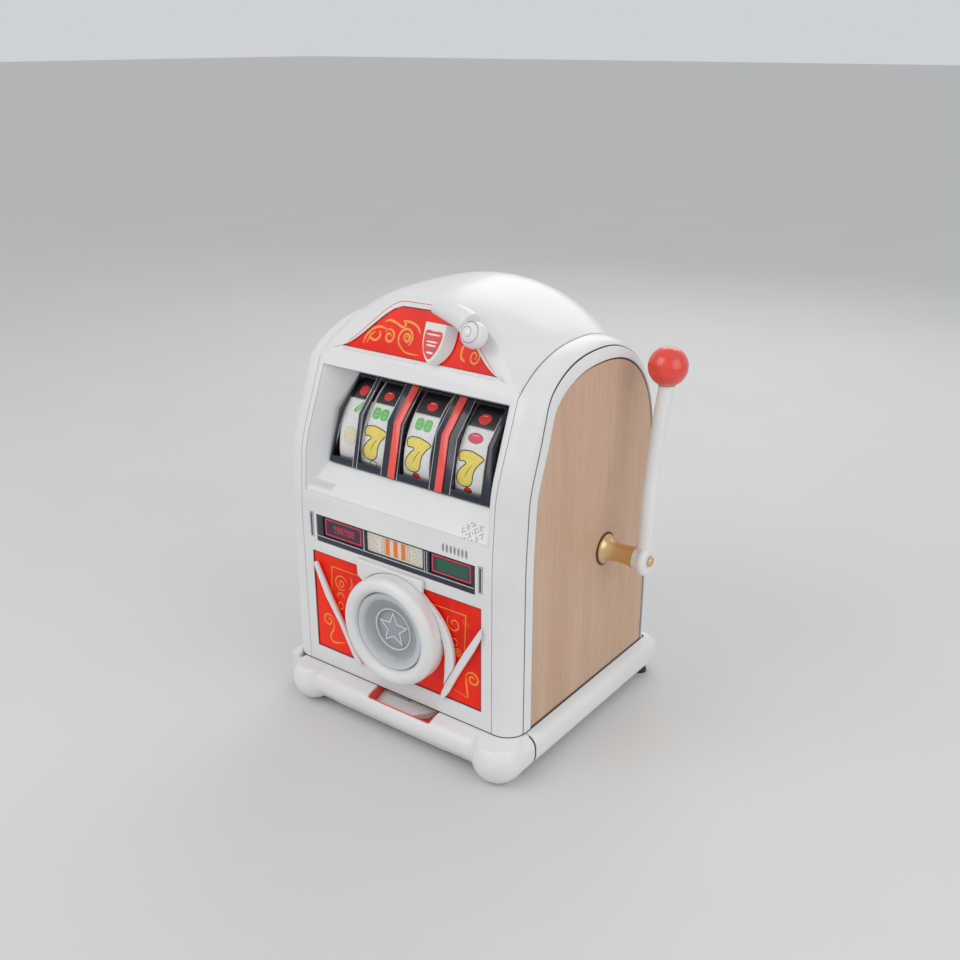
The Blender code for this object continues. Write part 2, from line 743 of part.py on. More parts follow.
# ---- Window ----
def opening_axes():
    """Middle, upward direction, outward direction and half-length of the inner window's plane."""
    top = Vector(REEL_OPENING_TOP[1:])
    bottom = Vector(REEL_OPENING_BOTTOM[1:])
    up = (top - bottom).normalized()
    out = Vector((-up.y, up.x))
    return (top + bottom) / 2.0, up, out, (top - bottom).length / 2.0


def reel_axis():
    middle, _, out, _ = opening_axes()
    return middle - out * (REEL_RADIUS - REEL_PROUD)


def mask_front():
    """Front edge (y, z) of the bars between the reels, with its knee, from bottom to top."""
    middle, up, out, half = opening_axes()
    ends = half - 0.0012
    return [middle - up * ends + out * 0.004, middle + up * 0.009 + out * MASK_KNEE,
            middle + up * ends + out * 0.0005]


def mask_back():
    """Back edge of the bars, which keeps clear of the drums, from top to bottom."""
    middle, up, out, half = opening_axes()
    ends = half - 0.0012
    points = []
    steps = 10
    for i in range(steps + 1):
        along = ends * (1.0 - 2.0 * i / steps)
        round_drum = math.sqrt((REEL_RADIUS + MASK_CLEAR) ** 2 - along ** 2)
        points.append(middle + up * along + out * max(round_drum - REEL_RADIUS + REEL_PROUD, -0.003))
    return points


def opening_half_width(z, inset):
    top, bottom = REEL_OPENING_TOP, REEL_OPENING_BOTTOM
    share = (z - bottom[2]) / (top[2] - bottom[2])
    return bottom[0] + (top[0] - bottom[0]) * share - inset


def make_window():
    outer, inner = [], []
    setback = FRONT_WALL + GAP
    for (x, z) in window_outline():
        outer.append((x, front_y(z) + setback, z))
    for half, y, z in (REEL_OPENING_BOTTOM, REEL_OPENING_TOP):
        pair = [(-half, y, z), (half, y, z)]
        inner += pair if z < WINDOW_MIDDLE_Z else pair[::-1]
    rings = [outer, inner]
    rings += [[(x, y + 0.0035, z) for x, y, z in widened(inner)],
              [(x, y + 0.0035, z) for x, y, z in widened(outer)]]
    place("window_surround", loft(rings, closed=True), "enamel")

    section = [tuple(p) for p in mask_front() + mask_back()]
    mask = prism(section, "X", -0.16, 0.16)
    low, high = section[0][1], mask_front()[-1].y
    outline = [(-opening_half_width(low, 0.0006), low), (opening_half_width(low, 0.0006), low),
               (opening_half_width(high, 0.0006), high), (-opening_half_width(high, 0.0006), high)]
    mask = combine(mask, "INTERSECT", through_front(stretched(outline)))
    for span in REEL_WINDOWS:
        edges = reel_window_edges(*span)
        hole = [(edges[0], low + 0.008), (edges[1], low + 0.008), (edges[3], high - 0.003),
                (edges[2], high - 0.003)]
        mask = cut(mask, through_front(hole))
    place("reel_mask", mask, "black")

    for name, x in zip(("red_bar_left", "red_bar_right"), BAR_X):
        _, _, out, _ = opening_axes()
        near = [p + out * GAP for p in mask_front()]
        far = [p + out * (GAP + BAR_THICK) for p in reversed(mask_front())]
        bar = prism([tuple(p) for p in near + far], "X", x - BAR_WIDTH / 2, x + BAR_WIDTH / 2)
        place(name, bar, "red_plastic")


def widened(ring):
    """The ring moved out from its middle by the surround's wall."""
    middle = sum((Vector(p) for p in ring), Vector()) / len(ring)
    moved = []
    for point in ring:
        offset = Vector(point) - middle
        moved.append((point[0] + math.copysign(SURROUND_WALL, offset.x), point[1],
                      point[2] + math.copysign(SURROUND_WALL, offset.z)))
    return moved


def stretched(outline):
    """The outline with its two ends moved 1 mm past the piece that it trims."""
    return [(x, z + (-0.001 if z < WINDOW_MIDDLE_Z else 0.001)) for x, z in outline]


def reel_window_edges(left, right):
    """Low-left, low-right, high-left and high-right edges of the opening in front of one reel."""
    low, high = [opening_half_width(z, 0.0040) for z in (REEL_OPENING_BOTTOM[2], REEL_OPENING_TOP[2])]
    return max(left, -low), min(right, low), max(left, -high), min(right, high)


# ---- Glass, displays and mouldings on the front ----
def lean_point(x, up, out):
    """A point on the leaning top: x across, up along its slope, and out from its face."""
    length = math.hypot(1.0, LEAN_RATE)
    start = LEAN_START_Z + LEAN_BLEND
    return Vector((x, front_y(start) + (LEAN_RATE * up - out) / length,
                   start + (up + LEAN_RATE * out) / length))


def lean_prism(outline, low, high):
    """Extrude an outline of (x, height z) on the leaning face, out from it."""
    length = math.hypot(1.0, LEAN_RATE)
    start = LEAN_START_Z + LEAN_BLEND
    rings = [[lean_point(x, (z - start) * length, out) for x, z in outline] for out in (low, high)]
    return loft(rings)


def shield_outline():
    middle, half, top, tip = 0.0345, 0.0220, 0.5725, 0.5245
    right = [(middle + half, top), (middle + half, top - 0.016), (middle + half * 0.88, top - 0.028),
             (middle + half * 0.52, top - 0.040)]
    left = [(2 * middle - x, z) for x, z in reversed(right)]
    return right + [(middle, tip)] + left


def make_glass():
    half, low, high = LOWER_GLASS
    pane = prism(inset(rectangle(half, low, high), GAP), "Y", Y_FRONT + 0.002, Y_FRONT + 0.005)
    place("lower_glass", pane, "red_glass")
    place("top_glass", lean_prism(inset(bell_outline(), GAP), -0.0045, -0.0015), "red_glass")
    place("shield", lean_prism(shield_outline(), GAP, 0.0130), "enamel")
    start = LEAN_START_Z + LEAN_BLEND
    length = math.hypot(1.0, LEAN_RATE)

    def spot(x, z, out):
        return lean_point(x, (z - start) * length, out)
    arm = rod([spot(x, z, radius + 0.0010) for x, z, radius in CURL], [radius for _, _, radius in CURL], 14)
    end_x, end_z, end_radius = CURL_END
    volute = ball(spot(end_x, end_z, end_radius + 0.0010), end_radius, 10, 18)
    place("coin_head", join(volute, arm), "enamel")


def make_displays():
    half, low, high = DISPLAY
    face = Y_FRONT + 0.0010
    housing = box((-half + GAP, half - GAP), (face, -0.160), (low + GAP, high - GAP))
    pockets = (("display_left", (-0.1265, -0.0545), "black"), ("award_card", (-0.0463, 0.0525), "card"),
               ("display_right", (0.0640, 0.1325), "black"))
    for name, x, finish in pockets:
        z = (low + 0.0100, high - 0.0022)
        housing = cut(housing, box(x, (face - 0.01, face + 0.0060), z))
        tile = box((x[0] + GAP, x[1] - GAP), (face + 0.0025, face + 0.0060 - GAP),
                   (z[0] + GAP, z[1] - GAP))
        place(name, tile, finish)
    place("display_housing", housing, "black")


def ring_profile():
    """Section (radius, y) of the round bezel."""
    crown = arc((RING_INNER + 0.0130, RING_FRONT_Y + 0.009), 0.009, 200.0, 340.0, 6)
    back = Y_FRONT - GAP
    return [(RING_INNER, back), (RING_INNER, RING_FRONT_Y + 0.0115), *crown,
            (RING_RADIUS, RING_FRONT_Y + 0.0100), (RING_RADIUS, back)]


def moulding(outline, depth=MOULDING_DEPTH):
    return prism(outline, "Y", Y_FRONT - GAP - depth, Y_FRONT - GAP)


def make_medallion():
    place("ring_bezel", turned(ring_profile(), "Y", RING_CENTRE, 40), "enamel")
    dish = [(0.030, -0.1850), (0.034, -0.1905), (0.040, -0.1895), (0.044, -0.1955),
            (DISH_RADIUS, -0.1975), (DISH_RADIUS, Y_FRONT - GAP)]
    place("dish", solid_turned(dish, "Y", RING_CENTRE, 36), "dish_grey")

    place("strap_left", moulding(STRAP_LEFT), "enamel")
    place("strap_right", moulding(STRAP_RIGHT_INNER + STRAP_RIGHT_OUTER), "enamel")
    clear_ring = RING_RADIUS + 0.0006
    crescent = moulding(arc(CRESCENT_CENTRE, CRESCENT_RADIUS, -30.0, 62.0, 12)
                        + arc(CRESCENT_INNER, CRESCENT_INNER_RADIUS, 50.0, 0.0, 6)
                        + [(0.0921, 0.1223), (0.0891, 0.0974)], 0.0065)
    beyond_strap = [(x - 0.0008, z + 0.0004) for x, z in STRAP_RIGHT_INNER[:0:-1]]
    crescent = cut(crescent, cylinder(clear_ring, "Y", RING_CENTRE, -0.3, -0.1, 48),
                   through_front(beyond_strap + [(0.200, 0.200), (0.200, 0.060), (0.0819, 0.060)]))
    place("crescent_trim", crescent, "enamel")
    tab = moulding([(-0.0605, 0.2515), (-0.0590, 0.2270), (-0.0485, 0.2190), (0.0500, 0.2190),
                    (0.0560, 0.2270), (0.0565, 0.2515)], 0.0060)
    tab = cut(tab, cylinder(clear_ring, "Y", RING_CENTRE, -0.3, -0.1, 48))
    place("tab_bracket", tab, "enamel")


# ---- Reels and mechanism ----
def make_reels():
    centre = tuple(reel_axis())
    half = REEL_WIDTH / 2
    bore = SHAFT_RADIUS + RUNNING
    web = 0.0015
    rim = REEL_RADIUS - REEL_RIM
    profile = [(bore, -0.012), (REEL_HUB, -0.012), (REEL_HUB, -web), (rim, -web), (rim, -half),
               (REEL_RADIUS, -half), (REEL_RADIUS, half), (rim, half), (rim, web), (REEL_HUB, web),
               (REEL_HUB, 0.012), (bore, 0.012)]
    for i, x in enumerate(REEL_X):
        shifted = [(radius, x + along) for radius, along in profile]
        place(f"reel_{i + 1}", turned(shifted, "X", centre, 36), "reel_paper", (x, *centre))
    shaft = cylinder(SHAFT_RADIUS, "X", centre, LEFT_FRAME_X[0] - 0.006, RIGHT_FRAME_X[1] + 0.006, 16)
    place("reel_shaft", shaft, "steel")


def kicker_axis():
    reach = GEAR_MODULE * (SECTOR_TEETH + PINION_TEETH) / 2
    return (HANDLE_Y + reach * math.cos(KICKER_ANGLE), HANDLE_Z + reach * math.sin(KICKER_ANGLE))


def gear_tooth(teeth, angle, centre):
    """One straight-flanked tooth, as points counter-clockwise round the gear."""
    pitch = GEAR_MODULE * teeth / 2
    points = []
    root, tip = pitch - 1.20 * GEAR_MODULE, pitch + 0.85 * GEAR_MODULE
    for side, radius, half in ((-1, root, 0.405), (-1, pitch, 0.225), (-1, tip, 0.105),
                               (1, tip, 0.105), (1, pitch, 0.225), (1, root, 0.405)):
        turn = angle + side * half * math.tau / teeth
        points.append((centre[0] + radius * math.cos(turn), centre[1] + radius * math.sin(turn)))
    return points


def make_gearing():
    hub = (HANDLE_Y, HANDLE_Z)
    step = math.tau / SECTOR_TEETH
    outline = []
    for k in range(-7, 3):
        outline += gear_tooth(SECTOR_TEETH, KICKER_ANGLE + step * k, hub)
    low_end = math.degrees(KICKER_ANGLE + step * -7.5)
    high_end = math.degrees(KICKER_ANGLE + step * 2.5)
    outline += arc(hub, SECTOR_HUB, high_end, low_end + 360.0, 8)
    sector = prism(outline, "X", *GEAR_X)
    bore = HANDLE_SHAFT_RADIUS + GAP
    sector = cut(sector, cylinder(bore, "X", hub, 0.1, 0.2, 20))
    place("drive_sector", sector, "steel", (GEAR_X[0], *hub))

    centre = kicker_axis()
    step = math.tau / PINION_TEETH
    facing = KICKER_ANGLE + math.pi
    outline = []
    for k in range(PINION_TEETH):
        outline += gear_tooth(PINION_TEETH, facing + step * (k + 0.5), centre)
    pinion = prism(outline, "X", GEAR_X[0] + 0.0005, GEAR_X[1] - 0.0005)
    pinion = cut(pinion, cylinder(KICKER_RADIUS + GAP, "X", centre, 0.1, 0.2, 16))
    place("pinion", pinion, "brass", (GEAR_X[0], *centre))

    shaft = cylinder(KICKER_RADIUS, "X", centre, LEFT_FRAME_X[0] - 0.004, GEAR_X[1] + 0.003, 16)
    paddle = box((REEL_X[0] - 0.020, REEL_X[-1] + 0.020), (centre[0] - 0.002, centre[0] + 0.002),
                 (centre[1] - 0.026, centre[1] + 0.001))
    place("kicker_shaft", join(shaft, paddle), "steel", (0.0, *centre))


def frame_outline():
    axis = reel_axis()
    return [(-0.020, SHELF_TOP + GAP), (0.135, SHELF_TOP + GAP), (0.135, 0.330), (0.060, 0.430),
            (0.010, 0.448), (-0.055, 0.430), (axis.x - 0.060, axis.y - 0.012), (-0.020, 0.270)]


def make_frame():
    holes = ((tuple(reel_axis()), SHAFT_RADIUS + RUNNING), (kicker_axis(), KICKER_RADIUS + RUNNING),
             ((HANDLE_Y, HANDLE_Z), HANDLE_SHAFT_RADIUS + RUNNING))
    for name, span in (("frame_plate_right", RIGHT_FRAME_X), ("frame_plate_left", LEFT_FRAME_X)):
        plate = prism(frame_outline(), "X", *span)
        for centre, radius in holes:
            plate = cut(plate, cylinder(radius, "X", centre, -0.2, 0.2, 16))
        place(name, plate, "steel")
    shelf = box((-0.155, 0.155), (-0.020, 0.165), (SHELF_TOP - SHELF_THICK, SHELF_TOP))
    place("mechanism_shelf", shelf, "steel")


def make_handle():
    hub = (HANDLE_Y, HANDLE_Z)
    bore = HANDLE_SHAFT_RADIUS + RUNNING
    boss = [(bore, 0.180), (0.0120, 0.180), (0.0120, PANEL_FACE_X + GAP), (0.0215, PANEL_FACE_X + GAP),
            (0.0205, 0.2035), (0.0160, 0.2080), (0.0135, 0.2160), (0.0130, 0.2300),
            (0.0150, NECK_X - GAP), (bore, NECK_X - GAP)]
    place("handle_boss", turned(boss, "X", hub, 28), "brass")
    shaft = solid_turned([(HANDLE_SHAFT_RADIUS, RIGHT_FRAME_X[0] - 0.004), (HANDLE_SHAFT_RADIUS, 0.2702),
                          (0.0050, 0.2718)], "X", hub, 20)
    place("handle_shaft", shaft, "brass", (0.0, *hub))

    flange = turned([(bore, NECK_X), (NECK_RADIUS, NECK_X), (NECK_RADIUS, FLANGE_X[0]),
                     (FLANGE_RADIUS - 0.003, FLANGE_X[0]),
                     (FLANGE_RADIUS, FLANGE_X[0] + 0.003), (FLANGE_RADIUS, FLANGE_X[1] - 0.003),
                     (FLANGE_RADIUS - 0.003, FLANGE_X[1]), (bore, FLANGE_X[1])], "X", hub, 28)
    base = Vector((ARM_X + 0.0015, HANDLE_Y + 0.001, HANDLE_Z + 0.0095))
    underside = KNOB_Z - KNOB_DROP - GAP
    top = Vector((ARM_X, KNOB_Y, underside + 0.004))
    path = []
    steps = 8
    for i in range(steps + 1):
        share = i / steps
        point = base.lerp(top, share)
        point.y -= 0.009 * math.sin(math.pi * share)
        path.append(point)
    arm = rod(path, [ARM_RADIUS] * (steps + 1), 14)
    arm = cut(arm, box((0.2, 0.3), (0.0, 0.2), (underside, KNOB_Z)))
    place("handle_arm", join(flange, arm), "enamel", (ARM_X, *hub))

    knob = ball((ARM_X, KNOB_Y, KNOB_Z), KNOB_RADIUS, 12, 20, KNOB_Z - KNOB_DROP)
    place("knob", knob, "red_plastic", (ARM_X, *hub))

    path = []
    count = SPRING_TURNS * SPRING_POINTS
    for i in range(count + 1):
        angle = math.tau * i / SPRING_POINTS
        path.append((SPRING_X[0] + (SPRING_X[1] - SPRING_X[0]) * i / count,
                     HANDLE_Y + SPRING_RADIUS * math.cos(angle), HANDLE_Z + SPRING_RADIUS * math.sin(angle)))
    place("return_spring", rod(path, [SPRING_WIRE] * len(path), 6), "steel", (SPRING_X[0], *hub))


# ---- Coin way ----
def make_coin_way():
    def upright(x, y, z, half_x, half_z):
        return [(x - half_x, y, z - half_z), (x + half_x, y, z - half_z),
                (x + half_x, y, z + half_z), (x - half_x, y, z + half_z)]

    def level(x, y, z, half_x, half_y):
        return [(x - half_x, y + half_y, z), (x + half_x, y + half_y, z),
                (x + half_x, y - half_y, z), (x - half_x, y - half_y, z)]
    x = sum(SLOT_X) / 2
    chute = duct([upright(x, Y_FRONT + FRONT_WALL + GAP, 0.278, 0.0050, 0.0200),
                  upright(x, -0.152, 0.270, 0.0050, 0.0200),
                  level(x, -0.118, 0.215, 0.0050, -0.0190),
                  level(0.097, -0.035, 0.1120, 0.0050, -0.0190)], 0.0012)
    place("coin_chute", chute, "steel")
    slide = duct([level(0.0, -0.125, 0.235, 0.0170, 0.0170), level(0.0, -0.125, 0.110, 0.0170, 0.0170),
                  level(-0.001, -0.132, 0.065, 0.0150, 0.0150),
                  upright(-0.001, -0.1585, 0.0460, 0.0145, 0.0075)][::-1], 0.0015)
    place("payout_tube", slide, "steel")


# ---- Back ----
def make_back():
    panel = box((-SEAM_X + GAP, SEAM_X - GAP), PANEL_Y, (BODY_BOTTOM, ROOF_REAR_Z - 3 * GAP))
    doorway = box((-DOOR_HALF, DOOR_HALF), (0.1, 0.2), DOOR_Z)
    drawer_way = box((-DRAWER_HALF, DRAWER_HALF), (0.1, 0.2), DRAWER_Z)
    place("back_panel", cut(panel, doorway, drawer_way), "enamel")

    edge = 0.0005
    hinge = (-DOOR_HALF, HINGE_Y)
    middle_z = sum(DOOR_Z) / 2
    door = box((-DOOR_HALF + edge, DOOR_HALF - edge), (PANEL_Y[0] + GAP, PANEL_Y[1] - GAP),
               (DOOR_Z[0] + edge, DOOR_Z[1] - edge))
    knuckle = cylinder(HINGE_RADIUS, "Z", hinge, middle_z - KNUCKLE_HALF, middle_z + KNUCKLE_HALF, 16)
    web = box((hinge[0] + 0.0005, hinge[0] + 0.012), (PANEL_Y[1] - 0.001, HINGE_Y - HINGE_RADIUS + 0.0015),
              (middle_z - KNUCKLE_HALF, middle_z + KNUCKLE_HALF))
    door = join(door, web, knuckle)
    pin_hole = cylinder(HINGE_PIN + GAP, "Z", hinge, 0.1, 0.4, 12)
    lock_hole = cylinder(LOCK_RADIUS + GAP, "Y", LOCK_POS, 0.1, 0.2, 20)
    place("back_door", cut(door, pin_hole, lock_hole), "enamel", (*hinge, middle_z))

    leaf = box((hinge[0] - 0.030, hinge[0] - 0.0010), (PANEL_Y[1] + GAP, PANEL_Y[1] + 0.0020),
               (middle_z - HINGE_HALF, middle_z + HINGE_HALF))
    notch = KNUCKLE_HALF + 0.0005
    slot = box((hinge[0] - 0.008, hinge[0] + 0.01), (0.17, 0.19), (middle_z - notch, middle_z + notch))
    for low in (middle_z - HINGE_HALF, middle_z + notch):
        barrel = cylinder(HINGE_RADIUS - 0.0002, "Z", hinge, low, low + HINGE_HALF - notch, 16)
        leaf = join(leaf, cut(barrel, box((hinge[0], hinge[0] + 0.01), (0.16, HINGE_Y - 0.0035), (0.1, 0.4))))
    leaf = cut(leaf, slot, cylinder(HINGE_PIN + GAP, "Z", hinge, 0.1, 0.4, 12))
    place("door_hinge_leaf", leaf, "steel")
    pin = cylinder(HINGE_PIN, "Z", hinge, middle_z - HINGE_HALF - 0.0020, middle_z + HINGE_HALF + 0.0020, 12)
    place("door_hinge_pin", pin, "steel")

    x, z = LOCK_POS
    barrel = solid_turned([(0.0070, 0.1640), (LOCK_RADIUS, 0.1650), (LOCK_RADIUS, 0.1752), (0.0105, 0.1752),
                           (0.0105, 0.1775), (0.0090, 0.1785)], "Y", LOCK_POS, 20)
    cam = box((x - 0.0060, x + 0.0060), (0.1655, 0.1680), (z - 0.0340, z + 0.0060))
    keyway = box((x - 0.0010, x + 0.0010), (0.1740, 0.1850), (z - 0.0040, z + 0.0040))
    place("door_lock", cut(join(barrel, cam), keyway), "steel", (x, 0.1700, z))

    drawer = box((-DRAWER_HALF + 0.0030, DRAWER_HALF - 0.0030), (DRAWER_FRONT_Y, PANEL_Y[1] - GAP),
                 (DRAWER_Z[0] + edge, DRAWER_Z[1] - 0.0030))
    face = box((-DRAWER_HALF + edge, DRAWER_HALF - edge), (PANEL_Y[0] + GAP, PANEL_Y[1] - GAP),
               (DRAWER_Z[0] + edge, DRAWER_Z[1] - edge))
    hollow = box((-DRAWER_HALF + 0.0045, DRAWER_HALF - 0.0045), (DRAWER_FRONT_Y + 0.0015, PANEL_Y[0]),
                 (DRAWER_Z[0] + 0.0020, 0.200))
    pull = solid_turned([(0.0045, 0.1740), (0.0040, 0.1800), (0.0085, 0.1840), (0.0085, 0.1875),
                         (0.0060, 0.1895)], "Y", (0.0, sum(DRAWER_Z) / 2), 18)
    place("cash_drawer", cut(join(drawer, face, pull), hollow), "steel")


def main():
    clear_scene()
    make_base()
    make_coin_tray()
    make_front()
    make_roof()
    make_sides()
    make_window()
    make_glass()
    make_displays()
    make_medallion()
    make_reels()
    make_frame()
    make_gearing()
    make_handle()
    make_coin_way()
    make_back()
    empty = bpy.data.objects.new("slot_machine", None)
    bpy.context.scene.collection.objects.link(empty)
    for obj in bpy.context.scene.objects:
        if obj is not empty:
            obj.parent = empty


main()
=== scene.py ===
"""Looks of the countertop slot machine: fine shells, printed art, reels and finishes."""
import math

import bmesh
import bpy
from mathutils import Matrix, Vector


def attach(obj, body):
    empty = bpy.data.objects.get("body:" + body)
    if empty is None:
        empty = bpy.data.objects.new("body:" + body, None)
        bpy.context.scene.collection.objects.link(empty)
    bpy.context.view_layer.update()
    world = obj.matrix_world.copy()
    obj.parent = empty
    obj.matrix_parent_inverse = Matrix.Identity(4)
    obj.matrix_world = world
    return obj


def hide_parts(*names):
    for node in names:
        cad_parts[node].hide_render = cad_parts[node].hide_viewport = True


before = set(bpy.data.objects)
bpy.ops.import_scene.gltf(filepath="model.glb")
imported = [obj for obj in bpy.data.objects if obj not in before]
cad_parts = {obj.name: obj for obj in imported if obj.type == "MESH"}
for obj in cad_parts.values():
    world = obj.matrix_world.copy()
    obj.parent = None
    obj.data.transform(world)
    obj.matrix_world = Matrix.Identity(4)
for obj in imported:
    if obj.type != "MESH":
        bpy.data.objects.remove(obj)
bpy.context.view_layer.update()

MM = 0.001
GAP = 0.0004
CABINET = "cabinet"

# ---- Camera ----
CAMERA_PLACE = (0.8939, -1.1774, 0.9133)
CAMERA_TURN = (68.23, 0.0, 36.70)
CAMERA_LENS = 41.72

# ---- Cabinet shape, the same rules as the frame's shells ----
HALF_WIDTH = 0.200
Y_FRONT = -0.175
Y_REAR = 0.175
BODY_BOTTOM = 0.0574
ROOF_TOP = 0.611
ROOF_RADIUS = 0.270
SEAM_X = 0.165
SHELL = 0.004
PROUD = 0.0003  # the roof stands this much over the casting
SEAM_FILLER = (0.0020, 0.0007, 0.0025)  # grey sheet of painted shade under the roof seam: half width and the depths of its two faces
SLOPE_START_Z = 0.300
SLOPE_RATE = 0.0755
LEAN_START_Z = 0.395
LEAN_RATE = 0.400
LEAN_BLEND = 0.020
ARCH_Y = 0.015
ARCH_Z = 0.360
ARCH_POWER_SIDE = 2.3
ARCH_POWER_MIDDLE = 3.3
ROOF_REAR_Z = 0.400
EDGE_RADIUS = (0.030, 0.030, 0.010)
FENDER_DEPTH = (0.024, 0.010, 0.0045)
PANEL_INSET = (0.041, 0.0265, 0.0100)
PANEL_FACE_X = 0.1985
PANEL_THICK = 0.0095
GROOVE = 0.0016  # gap between the side bands; a dark filler under it paints its shade
PANEL_GAP = 0.0026  # gap round the wood panel; a dark filler under it paints its shade
JOINT_LAP = 0.0015  # how far a joint's painted-shade filler starts before the gap
TRIM_FILLER = (0.0035, 0.0012, 0.0032)  # where it ends, and the depths of its two faces
PANEL_FILLER = (0.0045, 0.0026, 0.0045)
ARCH_STEPS = 56

# ---- Window and reels ----
WINDOW_TOP = (0.156, 0.498)
WINDOW_BOTTOM = (0.158, 0.327)
OPENING_TOP = (0.1275, -0.0855, 0.4800)
OPENING_BOTTOM = (0.1385, -0.1405, 0.3630)
REEL_RADIUS = 0.110
REEL_WIDTH = 0.044
REEL_X = (-0.1060, -0.0610, 0.0095, 0.0965)
REEL_WINDOWS = ((-0.1345, -0.0937), (-0.0867, -0.0424), (-0.0153, 0.0407), (0.0745, 0.1224))
REEL_PROUD = 0.0095
ART_SHIFT = (-0.0075, -0.0045, 0.0, -0.0010)  # how far each reel's symbols sit from its middle
REEL_SYMBOL_SETS = 5
SEVEN_SCALE = (1.14, 1.04)  # across and along the reel
TILE_TOP = 42.5  # degrees round the drum, from the middle of the window
TILE_BOTTOM = 15.7
MASK_KNEE = 0.019

# ---- Fronts ----
LOWER_GLASS = (0.1485, 0.0840, 0.2380)
DISPLAY = (0.1385, 0.2545, 0.2955)
SLOT_X = (0.1435, 0.1505)
SLOT_Z = (0.2590, 0.2970)
BELL_HALF = 0.1365
BELL_Z = (0.5255, 0.5865)
BELL_SHOULDER = 0.040
RING_CENTRE = (0.010, 0.168)
RING_RADIUS = 0.078
RING_INNER = 0.056
RING_FRONT_Y = -0.205
INK = 0.00012  # thickness of printed ink
CURL = ((0.0170, 0.5890, 0.0065), (0.0300, 0.5895, 0.0100), (0.0443, 0.5880, 0.0123),
        (0.0580, 0.5860, 0.0138), (0.0720, 0.5825, 0.0150), (0.0840, 0.5770, 0.0160))  # x, z, radius
CURL_END = (0.0940, 0.5665, 0.0172)

# ---- Handle ----
HUB = (0.045, 0.254)
ARM_X = 0.2570
ARM_RADIUS = 0.0105
KNOB = (0.0850, 0.5155)
KNOB_RADIUS = 0.0265
KNOB_DROP = 0.024

# ---- Base ----
BASE_TOP = 0.0570
RAIL_X = 0.2165
RAIL_BOTTOM = 0.0100
RAIL_INNER_X = 0.1855
RAIL_FRONT_Y = -0.143
BULB_START_X = 0.100  # beyond this the feet blend into the roll
BULB_ROUNDS = 25  # rounds of smoothing there
TRAY_FLOOR = 0.030


# ======== Shader building ========
class Wire:
    """A socket that can be added, multiplied and so on; each step adds one Math node."""

    def __init__(self, tree, socket):
        self.tree = tree
        self.socket = socket

    def step(self, operation, *operands):
        node = self.tree.nodes.new("ShaderNodeMath")
        node.operation = operation
        for slot, operand in zip(node.inputs, operands):
            join_socket(self.tree, operand, slot)
        return Wire(self.tree, node.outputs[0])

    def __add__(self, other):
        return self.step("ADD", self, other)

    def __sub__(self, other):
        return self.step("SUBTRACT", self, other)

    def __rsub__(self, other):
        return self.step("SUBTRACT", other, self)

    def __mul__(self, other):
        return self.step("MULTIPLY", self, other)

    __radd__ = __add__
    __rmul__ = __mul__

    def within(self, low, high):
        """0 below low, 1 above high, straight in between."""
        share = (self - low) * (1.0 / (high - low))
        return share.step("MINIMUM", share.step("MAXIMUM", share, 0.0), 1.0)


def join_socket(tree, value, slot):
    if isinstance(value, Wire):
        tree.links.new(value.socket, slot)
    else:
        slot.default_value = value


class Finish:
    """One Principled material, with one method that adds any other node."""

    def __init__(self, name, colour, roughness, metallic=0.0, coat=0.0, **fixed):
        self.material = bpy.data.materials.new(name)
        self.material.use_nodes = True
        self.material.diffuse_color = (*colour, 1.0)
        self.tree = self.material.node_tree
        self.shader = self.tree.nodes["Principled BSDF"]
        self.colour = (*colour, 1.0)
        self.feed(Base_Color=self.colour, Roughness=roughness, Metallic=metallic, Coat_Weight=coat)
        self.feed(**fixed)
        self.place = self.node("TexCoord", out="Object")

    def feed(self, **values):
        for name, value in values.items():
            join_socket(self.tree, value, self.shader.inputs[name.replace("_", " ")])

    def node(self, kind, out=0, settings=(), ramp=None, **values):
        """Add a node: its settings and ramp stops first, then its sockets' values or links."""
        made = self.tree.nodes.new("ShaderNode" + kind)
        for key, value in dict(settings).items():
            setattr(made, key, value)
        if ramp:
            stops = made.color_ramp.elements
            while len(stops) < len(ramp):
                stops.new(0.5)
            for stop, (at, colour) in zip(stops, ramp):
                stop.position = at
                stop.color = colour
        for key, value in values.items():
            slot = made.inputs[int(key[1:])] if key[0] == "i" and key[1:].isdigit() \
                else made.inputs[key.replace("_", " ")]
            join_socket(self.tree, value, slot)
        return Wire(self.tree, made.outputs[out])

    def stretched(self, scale, turn=(0.0, 0.0, 0.0), centre=(0.0, 0.0, 0.0)):
        return self.node("Mapping", Vector=self.place, Location=centre, Rotation=turn, Scale=scale)

    def noise(self, scale, detail=3.0, where=None, rough=0.5):
        return self.node("TexNoise", out=0, Vector=where or self.place, Scale=scale, Detail=detail,
                         Roughness=rough)

    def blend(self, factor, first, second):
        return self.node("Mix", out=2, settings={"data_type": "RGBA"}, i0=factor, i6=first, i7=second)

    def bump(self, height, distance, strength=1.0):
        self.feed(Normal=self.node("Bump", Strength=strength, Distance=distance, Height=height))


def shade(colour, factor):
    return (*(min(1.0, part * factor) for part in colour[:3]), 1.0)


def enamel_finish(name="white_enamel_finish", colour=(0.80, 0.80, 0.79)):
    made = Finish(name, colour, 0.32, coat=0.25, Coat_Roughness=0.15, Specular_IOR_Level=0.4)
    cloud = made.noise(7.0, 4.0)
    fine = made.noise(260.0, 2.0)
    worn = made.noise(45.0, 5.0, rough=0.65).within(0.60, 0.78)
    tone = made.blend(cloud.within(0.35, 0.70), shade(colour, 0.955), shade(colour, 1.03))
    made.feed(Base_Color=made.blend(worn * 0.35, tone, (0.70, 0.69, 0.66, 1.0)),
              Roughness=0.26 + cloud * 0.12 + worn * 0.10)
    made.bump(fine * 0.35 + cloud, 0.00035, 0.5)
    return made.material


